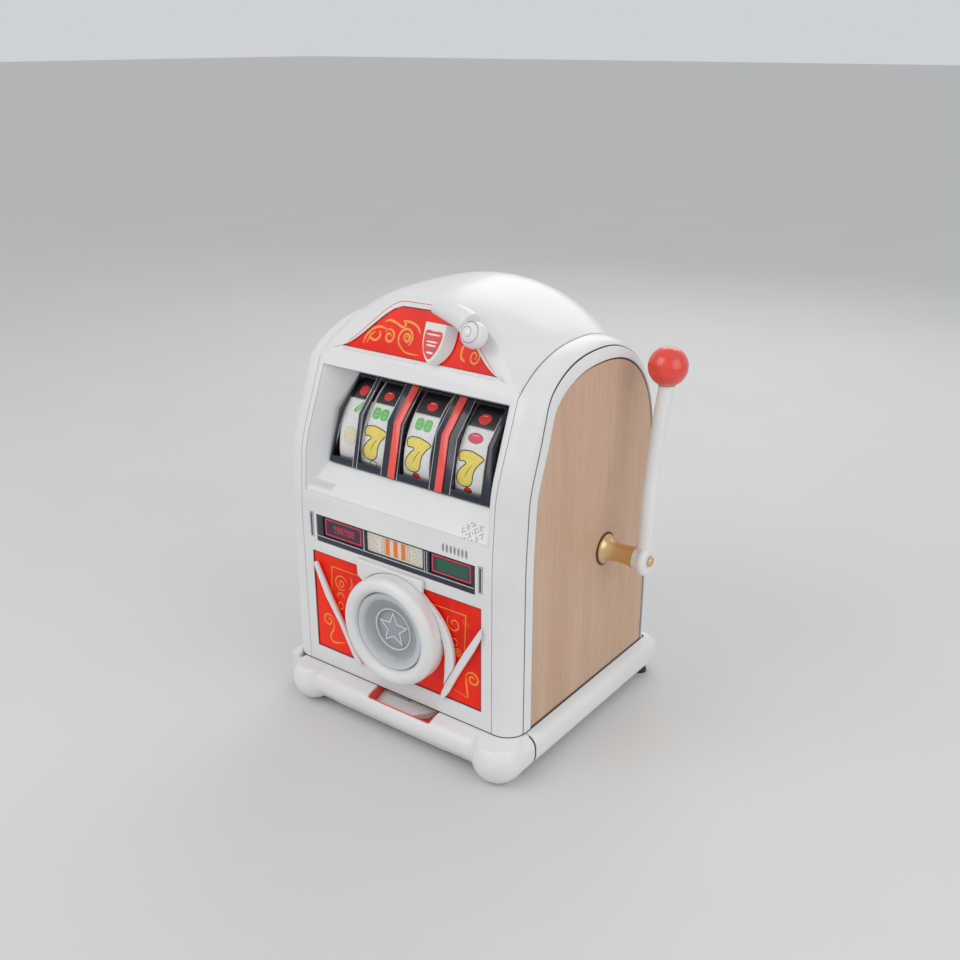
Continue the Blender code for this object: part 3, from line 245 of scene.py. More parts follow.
def wood_finish(name="side_wood_finish"):
    light, dark = (0.640, 0.425, 0.290, 1.0), (0.520, 0.318, 0.205, 1.0)
    made = Finish(name, light[:3], 0.45, coat=0.15, Coat_Roughness=0.3)
    drift = made.noise(4.5, 3.0, made.stretched((1.0, 1.0, 0.16)))
    bands = made.noise(17.0, 4.0, made.stretched((1.0, 1.0, 0.055)), 0.55)
    fibres = made.noise(260.0, 4.0, made.stretched((1.0, 1.0, 0.022)), 0.6)
    pores = made.noise(700.0, 2.0, made.stretched((1.0, 1.0, 0.030)), 0.5).within(0.60, 0.74)
    grain = made.blend(bands.within(0.34, 0.68), dark, light)
    grain = made.blend(drift.within(0.30, 0.75) * 0.5, grain, (0.700, 0.490, 0.350, 1.0))
    grain = made.blend(fibres.within(0.35, 0.72) * 0.45, grain, (0.500, 0.300, 0.190, 1.0))
    made.feed(Base_Color=made.blend(pores * 0.55, grain, (0.330, 0.180, 0.105, 1.0)),
              Roughness=0.36 + fibres * 0.22)
    made.bump(fibres * 0.6 - pores, 0.00012, 0.7)
    return made.material


def glass_finish(name="red_glass_painted_glow_finish"):
    red = (0.74, 0.012, 0.003)
    # The glass is given an emission of its own red, a painted glow, though it is no lamp.
    made = Finish(name, red, 0.22, coat=0.12, Coat_Roughness=0.10, Specular_IOR_Level=0.18,
                  Emission_Strength=0.16)
    glow = made.noise(9.0, 3.0)
    brushed = made.noise(120.0, 3.0, made.stretched((1.0, 1.0, 0.2)))
    tone = made.blend(glow.within(0.35, 0.65), (0.62, 0.006, 0.002, 1.0), (0.86, 0.022, 0.004, 1.0))
    tone = made.blend(brushed.within(0.55, 0.80) * 0.3, tone, (0.92, 0.055, 0.012, 1.0))
    made.feed(Base_Color=tone, Emission_Color=tone, Roughness=0.18 + glow * 0.08)
    made.bump(glow, 0.0004, 0.25)
    return made.material


def plastic_finish(name, colour, roughness, coat=0.3, mottle=0.10):
    made = Finish(name, colour, roughness, coat=coat, Coat_Roughness=0.12)
    cloud = made.noise(30.0, 4.0)
    grit = made.noise(900.0, 2.0)
    made.feed(Base_Color=made.blend(cloud.within(0.3, 0.7), shade(colour, 1 - mottle),
                                    shade(colour, 1 + mottle)),
              Roughness=roughness * 0.8 + cloud * (roughness * 0.4))
    made.bump(grit, 0.00008, 0.6)
    return made.material


def ink_finish(name, colour, roughness=0.35):
    made = Finish(name, colour, roughness, coat=0.2)
    patchy = made.noise(420.0, 3.0)
    made.feed(Base_Color=made.blend(patchy.within(0.35, 0.75), shade(colour, 1.08), shade(colour, 0.86)),
              Roughness=roughness + patchy * 0.12)
    return made.material


def metal_finish(name, colour, roughness, streak=(1.0, 1.0, 1.0), stain=0.35):
    made = Finish(name, colour, roughness, metallic=1.0)
    lines = made.noise(420.0, 3.0, made.stretched(streak))
    cloud = made.noise(38.0, 5.0, rough=0.6)
    made.feed(Base_Color=made.blend(cloud.within(0.50, 0.80) * stain, shade(colour, 1.0),
                                    shade(colour, 0.45)),
              Roughness=roughness * 0.7 + lines * (roughness * 0.5) + cloud * 0.10)
    made.bump(lines, 0.00006, 0.6)
    return made.material


def dish_finish(name="grey_dish_finish"):
    """Satin dish with fine turned rings round its own middle."""
    made = Finish(name, (0.36, 0.37, 0.39), 0.35, coat=0.3, Coat_Roughness=0.2)
    centred = made.stretched((1.0, 0.0, 1.0), centre=(-RING_CENTRE[0], 0.0, -RING_CENTRE[1]))
    radius = made.node("VectorMath", out="Value", settings={"operation": "LENGTH"}, i0=centred)
    turned = (radius * 4200.0).step("SINE", radius * 4200.0) * 0.5 + 0.5
    # The ramp over the radius paints shade in a band part way out and a highlight that brightens towards
    # the rim.
    ramp = made.node("ValToRGB", Fac=radius * (1.0 / RING_INNER), ramp=(
        (0.0, (0.30, 0.32, 0.35, 1.0)), (0.36, (0.27, 0.285, 0.31, 1.0)), (0.52, (0.20, 0.205, 0.215, 1.0)),
        (0.72, (0.30, 0.305, 0.32, 1.0)), (0.84, (0.48, 0.50, 0.53, 1.0)), (1.0, (0.66, 0.68, 0.70, 1.0))))
    cloud = made.noise(60.0, 4.0)
    made.feed(Base_Color=made.blend(turned * 0.16 + cloud * 0.18, ramp, (0.62, 0.63, 0.65, 1.0)),
              Roughness=0.28 + cloud * 0.2)
    made.bump(turned, 0.00010, 0.7)
    return made.material


def ply_finish(name="plywood_finish"):
    made = Finish(name, (0.42, 0.29, 0.17), 0.65)
    grain = made.noise(60.0, 4.0, made.stretched((0.06, 1.0, 1.0)), 0.6)
    made.feed(Base_Color=made.blend(grain.within(0.35, 0.70), (0.34, 0.22, 0.12, 1.0),
                                    (0.52, 0.37, 0.23, 1.0)),
              Roughness=0.55 + grain * 0.25)
    made.bump(grain, 0.00025, 0.6)
    return made.material


def lamp_finish(name, colour, strength):
    made = Finish(name, colour, 0.4, Emission_Strength=strength)
    made.feed(Emission_Color=(*colour, 1.0))
    return made.material


FINISHES = {
    "enamel": enamel_finish(),
    "wood": wood_finish(),
    "red_glass": glass_finish(),
    "red_plastic": plastic_finish("red_plastic_finish", (0.80, 0.055, 0.030), 0.24, 0.6),
    "red_bar": plastic_finish("red_bar_finish", (0.90, 0.085, 0.065), 0.28, 0.5),
    "navy": plastic_finish("navy_plastic_finish", (0.007, 0.010, 0.026), 0.25, 0.4, 0.3),
    # Dark painted shade: sheets and studs set where gaps, slots and holes show only shade.
    "dark_painted_shade": plastic_finish("dark_painted_shade_finish", (0.030, 0.028, 0.028), 0.45, 0.1, 0.3),
    # Grey painted shade, for the roof seams, the curl's fold, and the holes and vents on the shelf and
    # front.
    "seam": plastic_finish("grey_painted_shade_finish", (0.30, 0.30, 0.31), 0.45, 0.1, 0.2),
    # Pale painted shade, for the shelf hatch and the walls of the coin slots.
    "pale_painted_shade": plastic_finish("pale_painted_shade_finish", (0.52, 0.52, 0.53), 0.45, 0.1, 0.12),
    "paper": ink_finish("reel_paper_finish", (0.78, 0.78, 0.75), 0.35),
    "card": ink_finish("cream_card_finish", (0.76, 0.72, 0.62), 0.4),
    "dish": dish_finish(),
    "brass": metal_finish("brass_finish", (0.80, 0.54, 0.27), 0.30),
    "steel": metal_finish("steel_finish", (0.56, 0.57, 0.59), 0.34, (1.0, 0.08, 1.0)),
    "chrome": metal_finish("chrome_line_finish", (0.80, 0.81, 0.83), 0.12, stain=0.15),
    "rubber": plastic_finish("rubber_finish", (0.022, 0.022, 0.022), 0.7, 0.0, 0.3),
    "plywood": ply_finish(),
    "blue_steel": metal_finish("blued_flap_finish", (0.42, 0.52, 0.62), 0.30, (1.0, 1.0, 0.08)),
    "yellow_ink": ink_finish("yellow_ink_finish", (0.95, 0.50, 0.045)),
    "orange_ink": ink_finish("orange_ink_finish", (0.90, 0.20, 0.02)),
    "seven_ink": ink_finish("seven_yellow_finish", (0.86, 0.69, 0.14)),
    "pale_ink": ink_finish("pale_lemon_finish", (0.78, 0.70, 0.46)),
    "black_ink": ink_finish("black_ink_finish", (0.012, 0.014, 0.020)),
    "green_ink": ink_finish("green_ink_finish", (0.13, 0.52, 0.12)),
    "red_ink": ink_finish("red_ink_finish", (0.82, 0.035, 0.030)),
    "rose_ink": ink_finish("rose_ink_finish", (0.75, 0.035, 0.12)),
    "white_ink": ink_finish("white_ink_finish", (0.85, 0.85, 0.86)),
    "pale_grey_ink": ink_finish("pale_grey_ink_finish", (0.66, 0.68, 0.72)),
    "grey_ink": ink_finish("grey_ink_finish", (0.22, 0.22, 0.23)),
    "tan_ink": ink_finish("tan_ink_finish", (0.62, 0.48, 0.33)),
    "left_screen": lamp_finish("left_screen_finish", (0.024, 0.030, 0.044), 0.06),
    "right_screen": lamp_finish("right_screen_finish", (0.014, 0.046, 0.038), 0.12),
    "red_lamp": lamp_finish("red_lamp_finish", (0.62, 0.02, 0.07), 0.5),
    "green_lamp": lamp_finish("green_lamp_finish", (0.016, 0.085, 0.060), 0.15),
}


# ======== Making pieces ========
def piece(name, bm, body, finish, stands_for=(), bevel=0.0, segments=2, crisp=35.0):
    """Put a bmesh in the scene as a finished piece that rides on a body."""
    mesh = bpy.data.meshes.new(name)
    bm.to_mesh(mesh)
    bm.free()
    mesh.shade_smooth()
    if not bevel:
        mesh.set_sharp_from_angle(angle=math.radians(crisp))
    obj = bpy.data.objects.new(name, mesh)
    mesh.materials.append(FINISHES[finish])
    bpy.context.scene.collection.objects.link(obj)
    if bevel:
        rounded = obj.modifiers.new("rounded_edges", "BEVEL")
        rounded.width = bevel
        rounded.segments = segments
        rounded.limit_method = "ANGLE"
        rounded.angle_limit = math.radians(crisp)
        rounded.harden_normals = True
    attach(obj, body)
    if stands_for:
        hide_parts(*stands_for)
    return obj


def copied(node, flatten=0.6):
    """A CAD node's own shape with its loose triangles merged and its flat faces made whole."""
    bm = bmesh.new()
    bm.from_mesh(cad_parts[node].data)
    bmesh.ops.remove_doubles(bm, verts=bm.verts, dist=0.02 * MM)
    bmesh.ops.dissolve_limit(bm, angle_limit=math.radians(flatten), verts=bm.verts, edges=bm.edges)
    return bm


def loft(rings, closed=False):
    bm = bmesh.new()
    loops = [[bm.verts.new(point) for point in ring] for ring in rings]
    pairs = list(zip(loops, loops[1:]))
    if closed:
        pairs.append((loops[-1], loops[0]))
    for low, high in pairs:
        for i in range(len(low)):
            j = (i + 1) % len(low)
            bm.faces.new((low[i], low[j], high[j], high[i]))
    if not closed:
        bm.faces.new(loops[0][::-1])
        bm.faces.new(loops[-1])
    bmesh.ops.recalc_face_normals(bm, faces=bm.faces)
    return bm


def lifted(pair, axis, along):
    values = list(pair)
    values.insert("XYZ".index(axis), along)
    return Vector(values)


def prism(outline, axis, low, high):
    return loft([[lifted(pair, axis, along) for pair in outline] for along in (low, high)])


def box(x, y, z):
    return prism([(x[0], y[0]), (x[1], y[0]), (x[1], y[1]), (x[0], y[1])], "Z", *z)


def circle(centre, radius, segments, start=0.0):
    return [(centre[0] + radius * math.cos(start + math.tau * i / segments),
             centre[1] + radius * math.sin(start + math.tau * i / segments)) for i in range(segments)]


def arc(centre, radius, start, end, steps):
    points = []
    for i in range(steps + 1):
        angle = math.radians(start + (end - start) * i / steps)
        points.append((centre[0] + radius * math.cos(angle), centre[1] + radius * math.sin(angle)))
    return points


def turned(profile, axis, centre, segments):
    """Spin a closed (radius, along) profile round an axis."""
    rings = [[lifted(circle(centre, radius, segments)[i], axis, along) for radius, along in profile]
             for i in range(segments)]
    return loft(rings, closed=True)


def turned_solid(profile, axis, centre, segments):
    return loft([[lifted(p, axis, along) for p in circle(centre, radius, segments)]
                 for radius, along in profile])


def tube(path, radii, sides=10, closed=False):
    """A round bar through a path, with one radius or one for each point."""
    points = [Vector(p) for p in path]
    count = len(points)
    if not isinstance(radii, (list, tuple)):
        radii = [radii] * count
    rings = []
    first = None
    for i, point in enumerate(points):
        if closed:
            along = (points[(i + 1) % count] - points[i - 1]).normalized()
        else:
            along = (points[min(i + 1, count - 1)] - points[max(i - 1, 0)]).normalized()
        if first is None:
            first = Vector((0, 0, 1)) if abs(along.z) < 0.9 else Vector((1, 0, 0))
        first = (first - along * first.dot(along)).normalized()
        second = along.cross(first)
        rings.append([point + (first * math.cos(math.tau * k / sides)
                               + second * math.sin(math.tau * k / sides)) * radii[i] for k in range(sides)])
    return loft(rings, closed)


def sheet(outer, inner):
    """A closed wall between two grids of points."""
    rows, columns = len(outer), len(outer[0])
    bm = bmesh.new()
    tops = [[bm.verts.new(p) for p in row] for row in outer]
    unders = [[bm.verts.new(p) for p in row] for row in inner]
    for i in range(rows - 1):
        for j in range(columns - 1):
            bm.faces.new((tops[i][j], tops[i][j + 1], tops[i + 1][j + 1], tops[i + 1][j]))
            bm.faces.new((unders[i][j], unders[i + 1][j], unders[i + 1][j + 1], unders[i][j + 1]))
    for i in range(rows - 1):
        for j in (0, columns - 1):
            bm.faces.new((tops[i][j], tops[i + 1][j], unders[i + 1][j], unders[i][j]))
    for j in range(columns - 1):
        for i in (0, rows - 1):
            bm.faces.new((tops[i][j], tops[i][j + 1], unders[i][j + 1], unders[i][j]))
    bmesh.ops.recalc_face_normals(bm, faces=bm.faces)
    return bm


def mirrored(bm):
    bmesh.ops.scale(bm, vec=(-1.0, 1.0, 1.0), verts=bm.verts)
    bmesh.ops.reverse_faces(bm, faces=bm.faces)
    return bm


def gathered(*parts):
    """Several bmeshes as one."""
    whole = bmesh.new()
    for part in parts:
        mesh = bpy.data.meshes.new("working")
        part.to_mesh(mesh)
        part.free()
        whole.from_mesh(mesh)
        bpy.data.meshes.remove(mesh)
    return whole


def melted(bm, voxel, rounds):
    """Overlapping closed shapes fused into one cast body with soft inner and outer corners."""
    mesh = bpy.data.meshes.new("working")
    bm.to_mesh(mesh)
    bm.free()
    obj = bpy.data.objects.new("working", mesh)
    bpy.context.scene.collection.objects.link(obj)
    fused = obj.modifiers.new("fused", "REMESH")
    fused.mode = "VOXEL"
    fused.voxel_size = voxel
    softened = obj.modifiers.new("softened", "SMOOTH")
    softened.factor = 0.5
    softened.iterations = rounds
    graph = bpy.context.evaluated_depsgraph_get()
    result = bmesh.new()
    result.from_mesh(obj.evaluated_get(graph).to_mesh())
    bpy.data.objects.remove(obj, do_unlink=True)
    return result


# ======== Surfaces that art is laid on ========
def leaning(z, start, rate):
    rise = z - start
    if rise <= -LEAN_BLEND:
        return 0.0
    if rise >= LEAN_BLEND:
        return rate * rise
    return rate * (rise + LEAN_BLEND) ** 2 / (4.0 * LEAN_BLEND)


def front_y(z):
    gentle = leaning(z, SLOPE_START_Z, SLOPE_RATE)
    return Y_FRONT + gentle + leaning(z, LEAN_START_Z, LEAN_RATE - SLOPE_RATE)


def on_lean(x, z, out=0.0):
    """A point at height z on the leaning top, or out from it."""
    length = math.hypot(1.0, LEAN_RATE)
    return Vector((x, front_y(z) - out / length, z + LEAN_RATE * out / length))


def on_front(x, z, out=0.0):
    return Vector((x, front_y(z) - out, z))


def on_shelf(x, z, out=0.0):
    """A point on the sloping shelf under the reels."""
    low, high = Vector((front_y(WINDOW_BOTTOM[1]), WINDOW_BOTTOM[1])), Vector(OPENING_BOTTOM[1:])
    along = (high - low).normalized()
    outward = Vector((-along.y, along.x))
    spot = low + (high - low) * ((z - low.y) / (high.y - low.y)) + outward * out
    return Vector((x, spot.x, spot.y))


def window_axes():
    top, bottom = Vector(OPENING_TOP[1:]), Vector(OPENING_BOTTOM[1:])
    up = (top - bottom).normalized()
    return (top + bottom) / 2.0, up, Vector((-up.y, up.x)), (top - bottom).length / 2.0


MIDDLE, UP, OUT, HALF_OPENING = window_axes()
REEL_AXIS = MIDDLE - OUT * (REEL_RADIUS - REEL_PROUD)


def on_drum(reel_x, turn):
    """Lay (across, round the drum in metres) on a reel, turned by an angle in degrees."""
    def lay(x, along, out=0.0):
        angle = math.radians(turn) + along / REEL_RADIUS
        reach = REEL_RADIUS + out
        spot = REEL_AXIS + (OUT * math.cos(angle) + UP * math.sin(angle)) * reach
        return Vector((reel_x + x, spot.x, spot.y))
    return lay


def on_pane(depth):
    def lay(x, z, out=0.0):
        return Vector((x, Y_FRONT + depth - out, z))
    return lay


def smooth_path(points, steps=6, closed=False):
    """Catmull-Rom curve through 2D points."""
    count = len(points)
    result = []
    spans = count if closed else count - 1
    for i in range(spans):
        p1, p2 = Vector(points[i]), Vector(points[(i + 1) % count])
        p0 = Vector(points[i - 1]) if closed or i else p1 * 2 - p2
        p3 = Vector(points[(i + 2) % count]) if closed or i + 2 < count else p2 * 2 - p1
        for k in range(steps):
            t = k / steps
            result.append(tuple(0.5 * (p1 * 2 + (p2 - p0) * t + (p0 * 2 - p1 * 5 + p2 * 4 - p3) * t ** 2
                                       + (p1 * 3 - p0 - p2 * 3 + p3) * t ** 3)))
    if not closed:
        result.append(tuple(points[-1]))
    return result


def scroll(centre, outer, inner, start, turns, squeeze=1.0):
    """A spiral of ink, from its outer radius to its inner one."""
    steps = max(10, int(abs(turns) * 22))
    points = []
    for i in range(steps + 1):
        share = i / steps
        radius = outer + (inner - outer) * share
        angle = math.radians(start) + math.tau * turns * share
        points.append((centre[0] + radius * squeeze * math.cos(angle),
                       centre[1] + radius * math.sin(angle)))
    return points


def stroke(points, width, lay, low=0.0, high=INK, closed=False, taper=True):
    """A ribbon of ink along 2D points, laid on a surface."""
    flat = [Vector(p) for p in points]
    count = len(flat)
    rings = []
    for i, point in enumerate(flat):
        if closed:
            before, after = point - flat[i - 1], flat[(i + 1) % count] - point
        else:
            before = point - flat[max(i - 1, 0)]
            after = flat[min(i + 1, count - 1)] - point
        ahead = (before.normalized() + after.normalized()).normalized()
        side = Vector((-ahead.y, ahead.x))
        mitre = max(abs(side.dot(Vector((-after.y, after.x)).normalized())) if after.length else 1.0, 0.45)
        share = i / max(count - 1, 1)
        swell = 1.0 if closed or not taper else min(1.0, 0.35 + 3.2 * min(share, 1.0 - share))
        reach = side * (width / 2.0 * swell / mitre)
        a, b = point + reach, point - reach
        rings.append([lay(a.x, a.y, low), lay(a.x, a.y, high), lay(b.x, b.y, high), lay(b.x, b.y, low)])
    return loft(rings, closed)


def patch(outline, lay, low=0.0, high=INK, band=0.0035):
    """A filled 2D outline of ink, cut into bands so that it bends with its surface."""
    bm = bmesh.new()
    bm.faces.new([bm.verts.new((x, y, 0.0)) for x, y in outline])
    bmesh.ops.triangulate(bm, faces=bm.faces)
    bottom, top = min(y for _, y in outline), max(y for _, y in outline)
    for i in range(1, int((top - bottom) / band) + 1):
        everything = bm.verts[:] + bm.edges[:] + bm.faces[:]
        bmesh.ops.bisect_plane(bm, geom=everything, plane_co=(0, bottom + i * band, 0), plane_no=(0, 1, 0))
    kept = bm.faces[:]
    raised = bmesh.ops.extrude_face_region(bm, geom=kept, use_keep_orig=True)
    upper = {v for v in raised["geom"] if isinstance(v, bmesh.types.BMVert)}
    for vertex in bm.verts:
        vertex.co = lay(vertex.co.x, vertex.co.y, high if vertex in upper else low)
    bmesh.ops.recalc_face_normals(bm, faces=bm.faces)
    return bm


def frame_of(x, y, width, lay, high=INK):
    """A rectangular ring of ink."""
    outline = [(x[0], y[0]), (x[1], y[0]), (x[1], y[1]), (x[0], y[1])]
    return stroke(outline, width, lay, high=high, closed=True)


def rect(x, y):
    return [(x[0], y[0]), (x[1], y[0]), (x[1], y[1]), (x[0], y[1])]


def oval(centre, wide, tall, steps=28):
    return [(centre[0] + wide * math.cos(math.tau * i / steps),
             centre[1] + tall * math.sin(math.tau * i / steps))
            for i in range(steps)]


# ======== Shells ========
def roof_z(x):
    return ROOF_TOP - ROOF_RADIUS + math.sqrt(ROOF_RADIUS ** 2 - x ** 2)


def arch_point(x, angle):
    share = min(abs(x) / SEAM_X, 1.0) ** 2
    power = ARCH_POWER_MIDDLE + (ARCH_POWER_SIDE - ARCH_POWER_MIDDLE) * share
    rise = roof_z(min(abs(x), SEAM_X)) - ARCH_Z
    cosine = math.cos(angle)
    reach = ARCH_Y - Y_FRONT if cosine > 0 else Y_REAR - ARCH_Y
    y = ARCH_Y - math.copysign(reach * abs(cosine) ** (2.0 / power), cosine)
    return y, ARCH_Z + rise * max(math.sin(angle), 0.0) ** (2.0 / power)


def angle_where(low, high, test):
    for _ in range(40):
        middle = (low + high) / 2.0
        if test(middle):
            high = middle
        else:
            low = middle
    return high


def front_angle(x, setback=0.0):
    def behind(angle):
        y, z = arch_point(x, angle)
        return y > front_y(z) + setback
    return angle_where(math.radians(20.0), math.radians(90.0), behind)


def rear_angle(x, height):
    return angle_where(math.radians(100.0), math.pi, lambda angle: arch_point(x, angle)[1] <= height)


def side_path():
    """Outline (y, z) of the cabinet at the seam, up the front and down the back."""
    rows = 30
    path = [(front_y(z), z) for z in
            [BODY_BOTTOM + (0.480 - BODY_BOTTOM) * i / rows for i in range(rows + 1)]]
    start = front_angle(SEAM_X)
    path += [arch_point(SEAM_X, start + (math.pi - start) * i / ARCH_STEPS) for i in range(ARCH_STEPS + 1)]
    return path + [(Y_REAR, 0.300), (Y_REAR, 0.200), (Y_REAR, 0.120), (Y_REAR, BODY_BOTTOM)]


def path_normals(path):
    normals = []
    for i in range(len(path)):
        before, after = path[max(i - 1, 0)], path[min(i + 1, len(path) - 1)]
        along = Vector((after[0] - before[0], after[1] - before[1])).normalized()
        normals.append(Vector((-along.y, along.x)))
    normals[0] = Vector((-1.0, 0.0))
    normals[-1] = Vector((1.0, 0.0))
    return normals


def eased(normals, rounds):
    """Share each turn of the outline over its neighbours, so that deep bands do not fold."""
    for _ in range(rounds):
        inner = [(normals[i - 1] + normals[i] * 2 + normals[i + 1]).normalized()
                 for i in range(1, len(normals) - 1)]
        normals = [normals[0], *inner, normals[-1]]
    return normals


SIDE_PATH = side_path()
SIDE_NORMALS = eased(path_normals(SIDE_PATH), 8)


def around_arch(values, normal):
    front, top, rear = max(-normal.x, 0.0) ** 2, normal.y ** 2, max(normal.x, 0.0) ** 2
    return (values[0] * front + values[1] * top + values[2] * rear) / (front + top + rear)


def side_point(depth, radius, wall):
    if depth >= radius:
        return HALF_WIDTH - wall, depth
    sine = math.sqrt(radius ** 2 - (radius - depth) ** 2) / radius
    inner = radius - wall
    return HALF_WIDTH - radius + inner * sine, radius - inner * (radius - depth) / radius


def side_band(start, end, columns, wall, seam=None):
    """Grid over the rounded side between two (front, top, rear) depths."""
    grid = []
    for (y, z), normal in zip(SIDE_PATH, SIDE_NORMALS):
        radius = around_arch(EDGE_RADIUS, normal)
        low, high = around_arch(start, normal), around_arch(end, normal)
        row = []
        if seam:
            row.append((seam, y - normal.x * wall, max(z - normal.y * wall, BODY_BOTTOM)))
        for k in range(columns + 1):
            share = k / columns
            x, depth = side_point(low + (high - low) * (share ** 2 if seam else share), radius, wall)
            row.append((x, y - normal.x * depth, max(z - normal.y * depth, BODY_BOTTOM)))
        grid.append(row)
    return grid


def deeper(depths, extra):
    return tuple(depth + extra for depth in depths)


def side_ring(depths, x):
    """The side outline at a depth, as a closed ring of points."""
    ring = []
    for (y, z), normal in zip(SIDE_PATH, SIDE_NORMALS):
        depth = around_arch(depths, normal)
        ring.append((x, y - normal.x * depth, max(z - normal.y * depth, BODY_BOTTOM)))
    return ring


def make_sides():
    for hand, side in (("right", 1), ("left", -1)):
        def turn(bm):
            return bm if side > 0 else mirrored(bm)

        def band(start, end, columns, walls, seam=None):
            return turn(sheet(*(side_band(start, end, columns, wall, seam) for wall in walls)))
        piece(f"{hand}_fender_shell", band((0.0,) * 3, FENDER_DEPTH, 8, (0.0, SHELL), SEAM_X + GAP),
              CABINET, "enamel", (f"{hand}_fender",), 0.9 * MM)
        piece(f"{hand}_trim_band", band(deeper(FENDER_DEPTH, GROOVE), PANEL_INSET, 8, (0.0, SHELL)),
              CABINET, "enamel", (f"{hand}_trim",), 1.2 * MM, 3)
        # A dark sheet under each gap paints the shade seen in it.
        for place, start, (end, *walls) in (("trim", FENDER_DEPTH, TRIM_FILLER),
                                            ("panel", PANEL_INSET, PANEL_FILLER)):
            filler = band(deeper(start, -JOINT_LAP), deeper(start, end), 2, walls)
            piece(f"{hand}_{place}_joint", filler, CABINET, "dark_painted_shade")
        edge = deeper(PANEL_INSET, PANEL_GAP)
        panel = loft([side_ring(edge, PANEL_FACE_X - PANEL_THICK), side_ring(edge, PANEL_FACE_X)])
        piece(f"{hand}_wood_board", turn(panel), CABINET, "wood", (f"{hand}_wood_panel",),
              0.8 * MM)


def make_roof():
    stations, steps = 44, 48
    reach = SEAM_X - GAP
    outer, inner = [], []
    for i in range(stations + 1):
        x = -reach + 2 * reach * i / stations
        start, end = front_angle(x, -PROUD), rear_angle(x, ROOF_REAR_Z)
        outer.append([Vector((x, *arch_point(x, start + (end - start) * k / steps)))
                      for k in range(steps + 1)])
    skin = []
    for i in range(stations + 1):
        row, tops = [], []
        for k in range(steps + 1):
            along = outer[min(i + 1, stations)][k] - outer[max(i - 1, 0)][k]
            across = outer[i][min(k + 1, steps)] - outer[i][max(k - 1, 0)]
            inward = across.cross(along).normalized()
            row.append(outer[i][k] + inward * SHELL)
            tops.append(outer[i][k] - inward * PROUD)
        inner.append(row)
        skin.append(tops)
    piece("roof_cover", sheet(skin, inner), CABINET, "enamel", ("roof_shell",), 1.2 * MM, 3)
    # A grey sheet under each roof seam paints the shade seen in the gap.
    for hand, side in (("right", 1), ("left", -1)):
        half, *depths = SEAM_FILLER
        strips = [[[(side * (SEAM_X + across), y - normal.x * depth, max(z - normal.y * depth, BODY_BOTTOM))
                    for across in (-half, half)] for (y, z), normal in zip(SIDE_PATH, SIDE_NORMALS)]
                  for depth in depths]
        piece(f"{hand}_seam_filler", sheet(*strips), CABINET, "seam")


def make_front():
    piece("front_shell", copied("front_casting"), CABINET, "enamel", ("front_casting",),
          1.0 * MM, 3, 30.0)
    loops = [window_loop(0.0006, 0.0002), opening_loop(0.0, 0.0), opening_loop(0.002, 0.0040),
             window_loop(0.0006, 0.0037)]
    bm = loft(loops, closed=True)
    piece("window_recess", bm, CABINET, "enamel", ("window_surround",), 1.4 * MM, 3, 20.0)


def up_one_side(low, high, steps=14):
    """Points from the low corner to the high one, then the same mirrored and back down."""
    right = [Vector(low).lerp(Vector(high), i / steps) for i in range(steps + 1)]
    return right + [Vector((-point.x, *point[1:])) for point in reversed(right)]


def window_loop(inset, back):
    """Edge of the outer window on the front face."""
    corners = ((WINDOW_BOTTOM[0] - inset, 0.0, WINDOW_BOTTOM[1]),
               (WINDOW_TOP[0] - inset, 0.0, WINDOW_TOP[1]))
    return [(x, front_y(z) + back, z) for x, _, z in up_one_side(*corners)]


def opening_loop(wider, back):
    """Edge of the reel opening at the back of the recess."""
    low, high = ((x + wider, y + back, z) for x, y, z in (OPENING_BOTTOM, OPENING_TOP))
    return up_one_side(low, high)


# ======== Reels ========
def seven_outline():
    """A plump, slanting seven about 39 mm wide and 47 mm high, round its own middle."""
    points = [(-0.0148, 0.0200), (-0.0040, 0.0222), (0.0060, 0.0205), (0.0172, 0.0160), (0.0130, 0.0095),
              (0.0080, 0.0020), (0.0055, -0.0075), (0.0050, -0.0155), (0.0000, -0.0220), (-0.0100, -0.0228),
              (-0.0165, -0.0165), (-0.0158, -0.0080), (-0.0112, 0.0000), (-0.0058, 0.0062),
              (-0.0090, 0.0085), (-0.0145, 0.0082), (-0.0172, 0.0138)]
    wide, tall = SEVEN_SCALE
    return smooth_path([(x * wide, y * tall) for x, y in points], 4, closed=True)


def lips_outline(scale=1.0):
    points = [(-0.0085, 0.0), (-0.0045, 0.0058), (-0.0012, 0.0064), (0.0, 0.0054), (0.0012, 0.0064),
              (0.0045, 0.0058), (0.0085, 0.0), (0.0050, -0.0058), (0.0, -0.0072), (-0.0050, -0.0058)]
    return [(x * scale, y * scale) for x, y in smooth_path(points, 3, closed=True)]


def moved(outline, x, y):
    return [(px + x, py + y) for px, py in outline]


def degrees_along(angle):
    return math.radians(angle) * REEL_RADIUS


